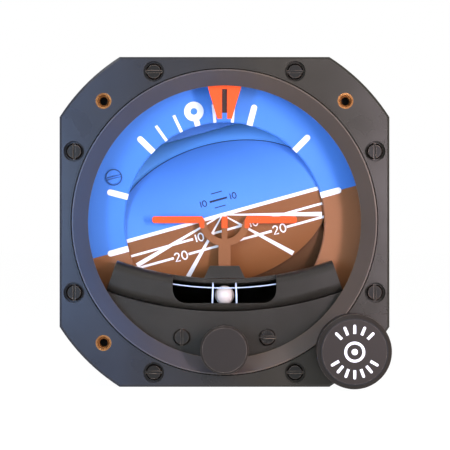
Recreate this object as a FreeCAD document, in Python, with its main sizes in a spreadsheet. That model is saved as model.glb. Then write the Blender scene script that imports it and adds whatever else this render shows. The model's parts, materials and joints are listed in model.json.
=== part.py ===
import FreeCAD, Part
import math
import os
import re
import Sketcher

# Attitude indicator for a 3 1/8 inch panel cut-out, in millimetres.
# X is to the right, Z is up, and Y runs from the front to the back of the case.
# The roll axis is the Y axis, and the face of the bezel that meets the panel is at Y = 0.

os.makedirs("parts", exist_ok=True)
doc = FreeCAD.newDocument("attitude_indicator")
sheet = doc.addObject("Spreadsheet::Sheet", "Sizes")

SIZES = {
    # Bezel and what it clamps
    "bezel_side": "85.73",
    "corner_inset": "9.82",
    "bezel_thick": "6.5",
    "bezel_chamfer": "0.6",
    "pocket_inset": "2.915",
    "ring_gap": "0.35",
    "ring_width": "4",
    "ring_proud": "1.2",
    "ring_rim": "0.3",
    "ring_relief": "0.1",
    "ring_seat": "2.6",
    "glass_inset": "2.2",
    "glass_thick": "2",
    "glass_clearance": "0.2",
    "gasket_thick": "0.5",
    "lip_clearance": "0.2",
    # Mounting inserts and face screws
    "insert_inset": "11.43",
    "insert_radius": "2.05",
    "insert_bore": "1.375",
    "insert_length": "6",
    "insert_recess": "0.3",
    "insert_chamfer": "0.25",
    "screw_inset": "3.765",
    "screw_near": "18.35",
    "counterbore_radius": "2.7",
    "counterbore_depth": "2.4",
    "face_head_radius": "2.15",
    "face_head_height": "1.8",
    "face_shank_radius": "1.3",
    "face_shank_length": "7",
    "slot_width": "0.6",
    "slot_depth": "0.7",
    "head_chamfer": "0.45",
    "thread_clearance": "0.05",
    # Case
    "case_inset": "1.465",
    "case_wall": "1.5",
    "flange_thick": "3.5",
    "ledge_height": "2.7",
    "ledge_thick": "3",
    "lug_inset": "1.7",
    "lug_radius": "3",
    "lug_length": "10",
    "end_space": "6",
    "cover_thick": "3",
    "cover_screw_radius": "1.1",
    "cover_screw_length": "9",
    "cover_head_radius": "2",
    "cover_head_height": "1.5",
    # Connector
    "connector_drop": "-16",
    "connector_radius": "9.5",
    "connector_wall": "1.2",
    "connector_length": "12.5",
    "connector_margin": "3.5",
    "connector_flange_thick": "1.6",
    "connector_screw_inset": "2.8",
    "connector_head_radius": "1.8",
    "insulator_length": "7",
    "contact_radius": "0.8",
    "contact_inset": "3.5",
    "contact_length": "11",
    # Caging control
    "caging_inset": "9.965",
    "caging_rod": "1.6",
    "caging_bore": "3.2",
    "caging_boss_wall": "1",
    "caging_end_wall": "3",
    "caging_end_space": "2",
    "caging_travel": "6",
    "caging_knob_radius": "9.5",
    "caging_knob_front": "-17",
    "caging_knob_depth": "11",
    "caging_knob_bevel": "1.3",
    "caging_knob_web": "4",
    "caging_bush_length": "12",
    "collar_clearance": "0.3",
    "collar_length": "2.5",
    "spring_length": "22",
    "spring_wire": "0.3",
    "spring_turns": "7",
    "spring_steps": "10",
    "fork_thick": "3",
    "fork_gap": "1",
    "fork_bore": "6",
    "fork_wall": "5",
    "fork_half_width": "1.5",
    "fork_side_gap": "0.5",
    # Bank index, mask and bracket
    "index_overlap": "2.6",
    "index_length": "11.1",
    "index_half_top": "4.1",
    "index_half_bottom": "1.95",
    "index_slot_half": "0.68",
    "index_slot_inset": "3",
    "index_thick": "1",
    "mask_clearance": "0.5",
    "mask_thick": "2",
    "mask_screw_x": "11.2",
    "mask_screw_rise": "2.8",
    "mask_head_radius": "2.25",
    "mask_head_height": "1.1",
    "mask_shank_radius": "1.25",
    "mask_shank_length": "5.5",
    "bracket_clearance": "0.3",
    # Inclinometer
    "arc_ball": "89.3",
    "ball_inset": "16.3",
    "housing_inset": "4.54",
    "ball_radius": "2.52",
    "ball_clearance": "0.2",
    "tube_wall": "0.38",
    "tube_clearance": "0.05",
    "tube_end_angle": "2.9",
    "tube_end_play": "0.1",
    "plug_angle": "1.5",
    "glass_gap": "1.2",
    "housing_wall": "0.85",
    "housing_rise": "4.3",
    "housing_fall": "4.2",
    "housing_round": "2.6",
    "sight_half": "13.6",
    "sight_lip": "2",
    "sight_round": "3.6",
    "sight_depth": "4",
    "sight_rise": "5",
    "hump_height": "3.4",
    "hump_half_top": "3.9",
    "hump_half_bottom": "5.4",
    # Aircraft symbol and its adjuster
    "symbol_gap": "0.3",
    "symbol_thick": "0.8",
    "wing_top": "1.5",
    "wing_bottom": "-0.3",
    "wing_tip": "19.2",
    "wing_root": "6",
    "ring_arc_outer": "6.7",
    "ring_arc_thick": "1.9",
    "ring_arc_height": "0.3",
    "post_half": "0.75",
    "stem_half": "1.6",
    "slide_side": "1.15",
    "slide_neck": "3",
    "slide_thick": "1",
    "adjuster_inset": "2.6",
    "adjuster_shaft": "1.5",
    "adjuster_bush_wall": "0.7",
    "adjuster_bush_proud": "0.8",
    "adjuster_radius": "6.25",
    "adjuster_front": "-6.5",
    "adjuster_depth": "4.8",
    "adjuster_bevel": "0.5",
    "adjuster_web": "1.5",
    "crank_throw": "5",
    "crank_thick": "1.5",
    "crank_pin": "1",
    "crank_edge": "0.4",
    "crank_gap": "0.2",
    "pin_length": "1.6",
    "pin_clearance": "0.35",
    "running_clearance": "0.04",
    # Roll assembly
    "bank_angle": "15.5",
    "dial_gap": "1",
    "dial_thick": "0.8",
    "dial_overlap": "1.2",
    "dial_width": "10.3",
    "dial_bevel": "0.3",
    "gimbal_ring_overlap": "0.4",
    "gimbal_ring_width": "4.2",
    "gimbal_ring_thick": "1.6",
    "dial_screw_inset": "4.9",
    "dial_boss": "2.8",
    "dial_boss_length": "5",
    "dial_head_radius": "2.05",
    "dial_head_height": "0.5",
    "dial_slot_depth": "0.3",
    "dial_head_bevel": "0.2",
    "dial_shank_radius": "1.1",
    "dial_shank_length": "4.5",
    "arm_overlap": "0.2",
    "arm_thick": "3",
    "arm_half": "6.5",
    "web_gap": "1.2",
    "web_thick": "5",
    "gimbal_hub": "12",
    "cam_outer": "13",
    "cam_inner": "8",
    "cam_height": "3.5",
    "cam_low": "1",
    "roll_shaft": "3",
    "roll_bearing_outer": "8",
    "roll_bearing_width": "4",
    "bearing_space": "6",
    "bearing_pitch": "12",
    "carrier_thick": "3",
    "carrier_wall": "2.5",
    "carrier_clearance": "0.05",
    "carrier_set_back": "5",
    "slip_drum": "6",
    "slip_space": "3",
    "slip_length": "8",
    "slip_groove": "0.5",
    "slip_bands": "9",
    "brush_gap": "0.3",
    "brush_half": "4",
    "brush_height": "6",
    "leaf_half": "1",
    # Pitch assembly
    "pitch_angle": "4.4",
    "plate_gap": "0.6",
    "plate_side_gap": "1",
    "plate_case_gap": "0.6",
    "plate_thick": "0.5",
    "plate_half_height": "19.05",
    "plate_lift": "2.45",
    "shell_gap": "0.1",
    "shell_thick": "1",
    "port_clearance": "0.2",
    "pivot_radius": "2",
    "pivot_boss_wall": "2.2",
    "pivot_bearing_wall": "2",
    "pivot_end_gap": "0.2",
    "link_inset": "2",
    "link_gap": "0.3",
    "link_thick": "1.2",
    "link_half": "3.5",
    "link_hub_wall": "2.5",
    "weight_reach": "19.3",
    "weight_radius": "6",
    "weight_thick": "1.9",
    # Gyro
    "gyro_ring_gap": "0.5",
    "gyro_ring_thick": "2.7",
    "gyro_ring_half": "4",
    "spin_shaft": "1.5",
    "spin_shaft_proud": "2.9",
    "spin_bearing_outer": "4",
    "spin_bearing_width": "3",
    "spin_boss_wall": "1.2",
    "spin_boss_reach": "4",
    "spin_boss_sink": "0.6",
    "rotor_gap": "4.2",
    "rotor_half": "7",
    "rotor_rim": "5.1",
    "rotor_web": "3",
    "stator_gap": "0.8",
    "stator_rise": "2.2",
    "stator_sink": "1",
    "stator_stem": "5",
    "stator_bore": "3.6",
}

# Two lengths closer than this are taken as equal when edges are picked
TOUCHING = 0.001

DERIVED = {
    # Face, from the bezel inwards
    "half_side": "bezel_side / 2",
    "bezel_corner": "half_side * sqrt(2) - corner_inset",
    "corner_run": "sqrt(bezel_corner * bezel_corner - half_side * half_side)",
    "screw_far": "half_side - screw_inset",
    "pocket_radius": "half_side - pocket_inset",
    "ring_outer": "pocket_radius - ring_gap",
    "window_radius": "ring_outer - ring_width",
    "glass_radius": "ring_outer - glass_inset",
    "glass_pocket": "glass_radius + glass_clearance",
    "lip_radius": "window_radius + lip_clearance",
    "insert_place": "half_side - insert_inset",
    "caging_place": "half_side - caging_inset",
    "case_radius": "half_side - case_inset",
    "case_inner": "case_radius - case_wall",
    "ledge_inner": "case_inner - ledge_height",
    "lug_place": "(case_inner - lug_inset) * sin(45)",
    "index_top": "window_radius + index_overlap",
    "index_bottom": "index_top - index_length",
    "index_slot_top": "index_top - index_slot_inset",
    "mask_radius": "case_inner - mask_clearance",
    "bracket_radius": "case_inner - bracket_clearance",
    "adjuster_drop": "window_radius - adjuster_inset",
    "mask_screw_z": "mask_screw_rise - adjuster_drop",
    "adjuster_bush": "adjuster_shaft + adjuster_bush_wall",
    "dial_outer": "window_radius + dial_overlap",
    "dial_inner": "dial_outer - dial_width",
    "dial_screw_ring": "dial_outer - dial_screw_inset",
    "gimbal_ring_outer": "dial_outer + gimbal_ring_overlap",
    "gimbal_ring_inner": "gimbal_ring_outer - gimbal_ring_width",
    "arm_outer": "gimbal_ring_inner + arm_overlap",
    "arm_inner": "arm_outer - arm_thick",
    # Drum and gyro, from the gimbal arms inwards
    "plate_half_width": "arm_inner - plate_side_gap",
    "sweep_radius": "case_inner - plate_case_gap",
    "plate_radius": "sqrt(sweep_radius * sweep_radius - plate_half_width * plate_half_width)",
    "plate_tilt": "asin(plate_lift / plate_radius)",
    "shell_radius": "plate_radius - plate_thick - shell_gap",
    "link_inner": "plate_half_width - link_inset",
    "link_hub": "pivot_radius + link_hub_wall",
    "pivot_boss": "pivot_radius + pivot_boss_wall",
    "pivot_boss_end": "link_inner - link_gap",
    "pivot_bearing_outer": "pivot_radius + pivot_bearing_wall",
    "shell_port": "pivot_boss + port_clearance",
    "gyro_ring_outer": "shell_radius - shell_thick - gyro_ring_gap",
    "gyro_ring_inner": "gyro_ring_outer - gyro_ring_thick",
    "spin_boss": "spin_bearing_outer + spin_boss_wall",
    "spin_boss_inner": "gyro_ring_inner - spin_boss_reach",
    "spin_shaft_half": "spin_boss_inner + spin_shaft_proud",
    "rotor_radius": "gyro_ring_inner - rotor_gap",
    "rotor_rim_inner": "rotor_radius - rotor_rim",
    "stator_radius": "rotor_rim_inner - stator_gap",
    # Inclinometer
    "ball_height": "ball_inset - window_radius",
    "arc_centre": "arc_ball + ball_height",
    "arc_top": "arc_ball - housing_rise",
    "arc_bottom": "arc_ball + housing_fall",
    "arc_half_angle": "asin((window_radius - housing_inset) / arc_bottom) / 1 deg",
    "tube_half_angle": "arc_half_angle - tube_end_angle",
    "tube_inner": "ball_radius + ball_clearance",
    "tube_outer": "tube_inner + tube_wall",
    "sight_bottom": "ball_height - sight_lip",
    "stem_bottom": "arc_centre - arc_top",
    "hump_top": "stem_bottom + hump_height",
    "ring_arc_inner": "ring_arc_outer - ring_arc_thick",
    # Depths behind the panel face, from front to back
    "glass_back": "ring_seat + glass_thick",
    "lip_front": "glass_back + gasket_thick",
    "mask_back": "bezel_thick + mask_thick",
    "flange_front": "bezel_thick + gasket_thick",
    "flange_back": "flange_front + flange_thick",
    "housing_front": "glass_back + glass_gap",
    "tube_depth": "housing_front + housing_wall + tube_clearance + tube_outer",
    "bracket_back": "tube_depth + tube_outer + 2 * tube_clearance",
    "crank_front": "bracket_back - crank_thick - crank_gap",
    "symbol_front": "bracket_back + symbol_gap",
    "dial_front": "symbol_front + slide_thick + dial_gap",
    "dial_back": "dial_front + dial_thick",
    "pitch_axis": "dial_back + plate_gap + plate_radius",
    "web_front": "pitch_axis + plate_radius + web_gap",
    "gimbal_back": "web_front + web_thick",
    "fork_front": "gimbal_back + cam_height + fork_gap + caging_travel",
    "fork_back": "fork_front + fork_thick",
    "front_bearing": "fork_back + bearing_space",
    "rear_bearing": "front_bearing + bearing_pitch",
    "ledge_front": "front_bearing + carrier_set_back",
    "carrier_front": "ledge_front - carrier_thick",
    "slip_front": "rear_bearing + roll_bearing_width + slip_space",
    "slip_back": "slip_front + slip_length",
    "slip_land": "slip_length / slip_bands",
    "roll_shaft_end": "slip_back + 2",
    "case_end": "roll_shaft_end + end_space",
    "cover_front": "case_end + gasket_thick",
    "cover_back": "cover_front + cover_thick",
    # Hubs, caging parts and connector
    "carrier_hub": "roll_bearing_outer + carrier_wall",
    "caging_boss": "caging_bore + caging_boss_wall",
    "caging_bore_end": "fork_back + caging_end_space",
    "caging_boss_end": "caging_bore_end + caging_end_wall",
    "collar_radius": "caging_bore - collar_clearance",
    "collar_front": "caging_bush_length + spring_length",
    "fork_eye": "fork_bore + fork_wall",
    "crank_radius": "crank_throw + crank_pin + crank_edge",
    "slide_half": "crank_throw + crank_pin + pin_clearance + slide_side",
    "connector_flange": "connector_radius + connector_margin",
    "connector_screw_place": "connector_flange - connector_screw_inset",
    "contact_ring": "connector_radius - connector_wall - contact_inset",
}


def bound(text):
    """Give each size in an expression the name of the sheet that holds it."""
    known = set(SIZES) | set(DERIVED)
    return re.sub(r"[a-z_0-9]+", lambda m: "Sizes." + m[0] if m[0] in known else m[0], str(text))


def value(text):
    """Work out an expression from the sheet."""
    return float(sheet.evalExpression(bound(text)))


def fill_sheet():
    """Write each driving size as a plain number and each derived one as a formula."""
    for row, (name, number) in enumerate(SIZES.items(), start=1):
        sheet.set(f"A{row}", name)
        sheet.set(f"B{row}", number)
        sheet.setAlias(f"B{row}", name)
    for row, (name, formula) in enumerate(DERIVED.items(), start=len(SIZES) + 1):
        sheet.set(f"A{row}", name)
        sheet.set(f"B{row}", "=" + formula)
        sheet.setAlias(f"B{row}", name)
    doc.recompute()


# Sketches. Each point and circle is tied to the sheet by its own constraints.

def new_body(name):
    body = doc.addObject("PartDesign::Body", name)
    body.Label = name
    body.AllowCompound = True
    return body


def new_sketch(body, role, offset="0"):
    """Sketch on one of the body's origin planes, moved along its normal."""
    sketch = body.newObject("Sketcher::SketchObject", body.Label + "_sketch")
    plane = next(item for item in body.Origin.OriginFeatures if item.Role == role)
    sketch.AttachmentSupport = [(plane, "")]
    sketch.MapMode = "FlatFace"
    sketch.setExpression("AttachmentOffset.Base.z", bound(offset))
    return sketch


def front_sketch(body, depth):
    """Sketch seen from the front, at a depth behind the panel face."""
    return new_sketch(body, "XZ_Plane", f"-({depth})")


def tie(sketch, kind, *items):
    """Add a constraint whose last item is an expression."""
    index = sketch.addConstraint(Sketcher.Constraint(kind, *items[:-1], value(items[-1])))
    sketch.setExpression(f"Constraints[{index}]", bound(items[-1]))


def tie_point(sketch, edge, end, x, y):
    tie(sketch, "DistanceX", -1, 1, edge, end, x)
    tie(sketch, "DistanceY", -1, 1, edge, end, y)


def add_polygon(sketch, points):
    corners = [FreeCAD.Vector(value(x), value(y), 0) for x, y in points]
    edges = []
    for start, end in zip(corners, corners[1:] + corners[:1]):
        edges.append(sketch.addGeometry(Part.LineSegment(start, end)))
    for edge, following in zip(edges, edges[1:] + edges[:1]):
        sketch.addConstraint(Sketcher.Constraint("Coincident", edge, 2, following, 1))
    for edge, (x, y) in zip(edges, points):
        tie_point(sketch, edge, 1, x, y)


def add_box(sketch, left, right, bottom, top):
    add_polygon(sketch, [(left, bottom), (right, bottom), (right, top), (left, top)])


def add_circle(sketch, x, y, radius):
    centre = FreeCAD.Vector(value(x), value(y), 0)
    edge = sketch.addGeometry(Part.Circle(centre, FreeCAD.Vector(0, 0, 1), value(radius)))
    tie(sketch, "Radius", edge, radius)
    tie_point(sketch, edge, 3, x, y)


def add_bezel_outline(sketch):
    """Square whose corners are turned on one circle about the roll axis."""
    side = value("half_side")
    run = value("corner_run")
    ends = [(run, side), (-run, side), (-side, run), (-side, -run),
            (-run, -side), (run, -side), (side, -run), (side, run)]
    names = [("corner_run", "half_side"), ("-corner_run", "half_side"),
             ("-half_side", "corner_run"), ("-half_side", "-corner_run"),
             ("-corner_run", "-half_side"), ("corner_run", "-half_side"),
             ("half_side", "-corner_run"), ("half_side", "corner_run")]
    radius = value("bezel_corner")
    circle = Part.Circle(FreeCAD.Vector(0, 0, 0), FreeCAD.Vector(0, 0, 1), radius)
    edges = []
    for number in range(8):
        start = FreeCAD.Vector(*ends[number], 0)
        end = FreeCAD.Vector(*ends[(number + 1) % 8], 0)
        if number % 2 == 0:
            shape = Part.LineSegment(start, end)
        else:
            shape = Part.ArcOfCircle(circle, circle.parameter(start), circle.parameter(end))
        edges.append(sketch.addGeometry(shape))
    for number, edge in enumerate(edges):
        sketch.addConstraint(Sketcher.Constraint("Coincident", edge, 2, edges[(number + 1) % 8], 1))
        if number % 2 == 0:
            tie_point(sketch, edge, 1, *names[number])
            tie_point(sketch, edge, 2, *names[(number + 1) % 8])
        else:
            tie(sketch, "Radius", edge, "bezel_corner")


# Features. Pads and cuts from a front sketch run towards the back of the case.

def feature(body, kind, sketch, length="", **settings):
    item = body.newObject("PartDesign::" + kind, body.Label + "_" + kind.lower())
    item.Profile = sketch
    for name, setting in settings.items():
        setattr(item, name, setting)
    if length:
        item.setExpression("Length", bound(length))
    doc.recompute()
    return item


def pad(body, sketch, length):
    return feature(body, "Pad", sketch, length, Reversed=sketch_faces_front(sketch))


def cut(body, sketch, length):
    return feature(body, "Pocket", sketch, length, Reversed=not sketch_faces_front(sketch))


def sketch_faces_front(sketch):
    return sketch.AttachmentSupport[0][0].Role == "XZ_Plane"


def cut_through(body, sketch):
    return feature(body, "Pocket", sketch, Type="ThroughAll", Midplane=True)


def turn(body, points, kind="Revolution", axis="H_Axis", role="YZ_Plane"):
    """Turn a profile of depth and radius once round the axis of the sketch."""
    sketch = new_sketch(body, role)
    add_polygon(sketch, points)
    return feature(body, kind, sketch, ReferenceAxis=(sketch, [axis]), Angle=360)


def turned(name, points):
    body = new_body(name)
    turn(body, points)
    return body


def dress(body, kind, size, wanted):
    """Chamfer or fillet the edges that a test picks."""
    base = body.Tip
    picked = [f"Edge{number}" for number, edge in enumerate(base.Shape.Edges, start=1) if wanted(edge)]
    item = body.newObject("PartDesign::" + kind, body.Label + "_" + kind.lower())
    item.Base = (base, picked)
    item.setExpression("Size" if kind == "Chamfer" else "Radius", bound(size))
    doc.recompute()
    return item


def near(number, expression):
    return abs(number - value(expression)) < TOUCHING


def rim_at(depth, radius):
    """Test for whole circles about any front to back line at one depth."""
    def wanted(edge):
        curve = edge.Curve
        if not isinstance(curve, Part.Circle):
            return False
        return near(curve.Center.y, depth) and near(curve.Radius, radius)
    return wanted


def slotted_screws(name, spots, seat, head, shank, bevel="head_chamfer", slot_depth="slot_depth"):
    """Screws from the front: spots hold x, z and whether the slot stands upright."""
    head_radius, head_height = head
    shank_radius, shank_length = shank
    face = f"{seat} - {head_height}"
    body = new_body(name)
    shanks = front_sketch(body, seat)
    heads = front_sketch(body, face)
    slots = front_sketch(body, face)
    for x, z, upright in spots:
        add_circle(shanks, x, z, shank_radius)
        add_circle(heads, x, z, head_radius)
        across = "slot_width / 2" if upright else head_radius
        along = head_radius if upright else "slot_width / 2"
        add_box(slots, f"{x} - {across}", f"{x} + {across}", f"{z} - {along}", f"{z} + {along}")
    pad(body, shanks, shank_length)
    pad(body, heads, head_height)
    dress(body, "Chamfer", bevel, rim_at(face, head_radius))
    cut(body, slots, slot_depth)
    return body


def rolled(item):
    """Turn a piece of the roll assembly to the bank shown at rest."""
    turn_text = "rotation(vector(0; -1; 0); bank_angle)"
    item.setExpression("Placement", bound(f"placement(vector(0; 0; 0); {turn_text})"))


def pitched(item, angle="pitch_angle"):
    """Place a piece drawn about the pitch axis, banked and pitched as at rest."""
    bank = "rotation(vector(0; -1; 0); bank_angle)"
    nose = f"rotation(vector(-1; 0; 0); {angle})"
    item.setExpression("Placement", bound(f"placement(vector(0; pitch_axis; 0); {bank} * {nose})"))


FACE_SPOTS = [(f"{sx}screw_near", f"{sz}screw_far", False) for sx in ("", "-") for sz in ("", "-")]
FACE_SPOTS += [(f"{sx}screw_far", f"{sz}screw_near", True) for sx in ("", "-") for sz in ("", "-")]
INSERT_SPOTS = [("-insert_place", "insert_place"), ("insert_place", "insert_place"),
                ("-insert_place", "-insert_place")]
COVER_SPOTS = [(f"{sx}lug_place", f"{sz}lug_place") for sx in ("", "-") for sz in ("", "-")]


# Bezel, window and case

def make_bezel_plate():
    body = new_body("bezel_plate")
    outline = front_sketch(body, "0")
    add_bezel_outline(outline)
    pad(body, outline, "bezel_thick")
    dress(body, "Chamfer", "bezel_chamfer", lambda edge: near(edge.BoundBox.YMax, "0"))
    turn(body, [("-1", "0"), ("-1", "pocket_radius"), ("ring_seat", "pocket_radius"),
                ("ring_seat", "glass_pocket"), ("lip_front", "glass_pocket"),
                ("lip_front", "lip_radius"), ("bezel_thick + 1", "lip_radius"),
                ("bezel_thick + 1", "0")], kind="Groove")
    counterbores = front_sketch(body, "0")
    holes = front_sketch(body, "0")
    for x, z, upright in FACE_SPOTS:
        add_circle(counterbores, x, z, "counterbore_radius")
        add_circle(holes, x, z, "face_shank_radius + thread_clearance")
    for x, z in INSERT_SPOTS:
        add_circle(holes, x, z, "insert_radius")
    add_circle(holes, "caging_place", "-caging_place", "caging_bore")
    cut(body, counterbores, "counterbore_depth")
    cut(body, holes, "bezel_thick")


def make_bezel_gasket():
    body = new_body("bezel_gasket")
    outline = front_sketch(body, "bezel_thick")
    add_bezel_outline(outline)
    add_circle(outline, "0", "0", "case_inner")
    add_circle(outline, "caging_place", "-caging_place", "caging_bore")
    for x, z, upright in FACE_SPOTS:
        add_circle(outline, x, z, "face_shank_radius + thread_clearance")
    for x, z in INSERT_SPOTS:
        add_circle(outline, x, z, "insert_bore")
    pad(body, outline, "gasket_thick")


def make_front_frame():
    """Square flange that the bezel is screwed to."""
    body = new_body("front_frame")
    outline = front_sketch(body, "flange_front")
    add_bezel_outline(outline)
    add_circle(outline, "0", "0", "case_inner")
    add_circle(outline, "caging_place", "-caging_place", "caging_bore")
    for x, z, upright in FACE_SPOTS:
        add_circle(outline, x, z, "face_shank_radius")
    for x, z in INSERT_SPOTS:
        add_circle(outline, x, z, "insert_bore")
    pad(body, outline, "flange_thick")


def make_case_tube():
    """Round case with a ledge for the bearing carrier and lugs for the cover screws."""
    body = new_body("case_tube")
    turn(body, [("flange_back", "case_inner"), ("flange_back", "case_radius"),
                ("case_end", "case_radius"), ("case_end", "case_inner"),
                ("ledge_front + ledge_thick", "case_inner"),
                ("ledge_front + ledge_thick", "ledge_inner"),
                ("ledge_front", "ledge_inner"), ("ledge_front", "case_inner")])
    lugs = front_sketch(body, "case_end - lug_length")
    taps = front_sketch(body, "case_end - lug_length")
    for x, z in COVER_SPOTS:
        add_circle(lugs, x, z, "lug_radius")
        add_circle(taps, x, z, "cover_screw_radius")
    pad(body, lugs, "lug_length")
    cut(body, taps, "lug_length")
    cut_fork_slot(body)


def cut_fork_slot(body):
    """Slot on the diagonal that the caging fork passes through and slides along."""
    slot = front_sketch(body, "fork_front - caging_travel - fork_thick / 2")
    half = "(fork_half_width + fork_side_gap) * sin(45)"
    inside = "(ledge_inner - fork_thick) * sin(45)"
    add_polygon(slot, [(f"{inside} - {half}", f"-{inside} - {half}"),
                       (f"caging_place - {half}", f"-caging_place - {half}"),
                       (f"caging_place + {half}", f"-caging_place + {half}"),
                       (f"{inside} + {half}", f"-{inside} + {half}")])
    cut(body, slot, "caging_travel + 2 * fork_thick")


def make_caging_tube():
    """Tube along the corner of the case for the caging rod, ribbed to the case."""
    body = new_body("caging_tube")
    boss = front_sketch(body, "flange_back")
    add_circle(boss, "caging_place", "-caging_place", "caging_boss")
    pad(body, boss, "caging_boss_end - flange_back")
    rib = front_sketch(body, "flange_back")
    wall = "case_inner * sin(45)"
    add_polygon(rib, [("caging_place - caging_boss", "-caging_place"),
                      ("caging_place", "-caging_place + caging_boss"),
                      (f"{wall} + caging_boss / 2", f"-{wall} + caging_boss / 2"),
                      (f"{wall} - caging_boss / 2", f"-{wall} - caging_boss / 2")])
    pad(body, rib, "caging_boss_end - flange_back")
    inside = front_sketch(body, "flange_back")
    add_circle(inside, "0", "0", "case_radius")
    cut(body, inside, "caging_boss_end - flange_back")
    guide = front_sketch(body, "flange_back")
    add_circle(guide, "caging_place", "-caging_place", "caging_bore")
    cut(body, guide, "caging_bore_end - flange_back")
    cut_fork_slot(body)


def make_window():
    turned("window_ring", [("-ring_proud", "ring_outer - ring_rim"), ("-ring_proud", "ring_outer"),
                           ("0", "ring_outer"), ("0", "ring_outer - ring_relief"),
                           ("ring_seat", "ring_outer - ring_relief"), ("ring_seat", "window_radius")])
    glass = new_body("cover_glass")
    disc = front_sketch(glass, "ring_seat")
    add_circle(disc, "0", "0", "glass_radius")
    add_circle(disc, "0", "-adjuster_drop", "adjuster_bush")
    pad(glass, disc, "glass_thick")
    turned("glass_gasket", [("glass_back", "lip_radius"), ("glass_back", "glass_radius"),
                            ("lip_front", "glass_radius"), ("lip_front", "lip_radius")])


def make_inserts():
    body = new_body("mounting_inserts")
    sleeves = front_sketch(body, "insert_recess")
    for x, z in INSERT_SPOTS:
        add_circle(sleeves, x, z, "insert_radius")
        add_circle(sleeves, x, z, "insert_bore")
    pad(body, sleeves, "insert_length")
    dress(body, "Chamfer", "insert_chamfer", rim_at("insert_recess", "insert_bore"))


def make_rear():
    gasket = new_body("rear_gasket")
    ring = front_sketch(gasket, "case_end")
    add_circle(ring, "0", "0", "case_radius")
    add_circle(ring, "0", "0", "case_inner")
    pad(gasket, ring, "gasket_thick")
    cover = new_body("rear_cover")
    disc = front_sketch(cover, "cover_front")
    add_circle(disc, "0", "0", "case_radius")
    add_circle(disc, "0", "connector_drop", "connector_radius - connector_wall")
    for x, z in COVER_SPOTS:
        add_circle(disc, x, z, "cover_screw_radius + thread_clearance")
    pad(cover, disc, "cover_thick")
    dress(cover, "Chamfer", "bezel_chamfer", rim_at("cover_back", "case_radius"))
    make_rear_screws()


def make_rear_screws():
    body = new_body("rear_cover_screws")
    heads = front_sketch(body, "cover_back")
    shanks = front_sketch(body, "cover_back - cover_screw_length")
    slots = front_sketch(body, "cover_back + cover_head_height - slot_depth")
    for x, z in COVER_SPOTS:
        add_circle(heads, x, z, "cover_head_radius")
        add_circle(shanks, x, z, "cover_screw_radius")
        add_box(slots, f"{x} - cover_head_radius", f"{x} + cover_head_radius",
                f"{z} - slot_width / 2", f"{z} + slot_width / 2")
    pad(body, shanks, "cover_screw_length")
    pad(body, heads, "cover_head_height")
    dress(body, "Chamfer", "head_chamfer", rim_at("cover_back + cover_head_height", "cover_head_radius"))
    cut(body, slots, "slot_depth")


CONNECTOR_SPOTS = [(f"{sx}connector_screw_place", f"{sz}connector_screw_place + connector_drop")
                   for sx in ("", "-") for sz in ("", "-")]


def make_connector():
    shell = new_body("connector_shell")
    flange = front_sketch(shell, "cover_back")
    add_box(flange, "-connector_flange", "connector_flange",
            "connector_drop - connector_flange", "connector_drop + connector_flange")
    add_circle(flange, "0", "connector_drop", "connector_radius - connector_wall")
    pad(shell, flange, "connector_flange_thick")
    barrel = front_sketch(shell, "cover_back")
    add_circle(barrel, "0", "connector_drop", "connector_radius")
    add_circle(barrel, "0", "connector_drop", "connector_radius - connector_wall")
    pad(shell, barrel, "connector_length")
    holes = front_sketch(shell, "cover_back")
    for x, z in CONNECTOR_SPOTS:
        add_circle(holes, x, z, "cover_screw_radius")
    cut(shell, holes, "connector_flange_thick")
    insert = new_body("connector_insulator")
    disc = front_sketch(insert, "cover_front")
    add_circle(disc, "0", "connector_drop", "connector_radius - connector_wall")
    pad(insert, disc, "insulator_length")
    pins = new_body("connector_contacts")
    circles = front_sketch(pins, "cover_front + insulator_length")
    add_circle(circles, "0", "connector_drop", "contact_radius")
    for number in range(6):
        angle = 60 * number
        add_circle(circles, f"contact_ring * cos({angle})",
                   f"connector_drop + contact_ring * sin({angle})", "contact_radius")
    pad(pins, circles, "contact_length - insulator_length")
    screws = new_body("connector_screws")
    heads = front_sketch(screws, "cover_back + connector_flange_thick")
    shanks = front_sketch(screws, "cover_back")
    for x, z in CONNECTOR_SPOTS:
        add_circle(heads, x, z, "connector_head_radius")
        add_circle(shanks, x, z, "cover_screw_radius")
    pad(screws, shanks, "connector_flange_thick")
    pad(screws, heads, "cover_head_height")


# What stands behind the glass and in front of the dial

def make_bank_index():
    body = new_body("bank_index")
    outline = front_sketch(body, "bezel_thick")
    add_polygon(outline, [("-index_half_top", "index_top"), ("-index_half_bottom", "index_bottom"),
                          ("-index_slot_half", "index_bottom"), ("-index_slot_half", "index_slot_top"),
                          ("index_slot_half", "index_slot_top"), ("index_slot_half", "index_bottom"),
                          ("index_half_bottom", "index_bottom"), ("index_half_top", "index_top")])
    pad(body, outline, "index_thick")


def lower_segment(body, front, radius, thick):
    """Disc cut away above the lower edge of the inclinometer."""
    disc = front_sketch(body, front)
    add_circle(disc, "0", "0", radius)
    pad(body, disc, thick)
    above = front_sketch(body, front)
    add_circle(above, "0", "arc_centre", "arc_bottom")
    cut(body, above, thick)


MASK_SPOTS = [("mask_screw_x", "mask_screw_z", False), ("-mask_screw_x", "mask_screw_z", True)]


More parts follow.
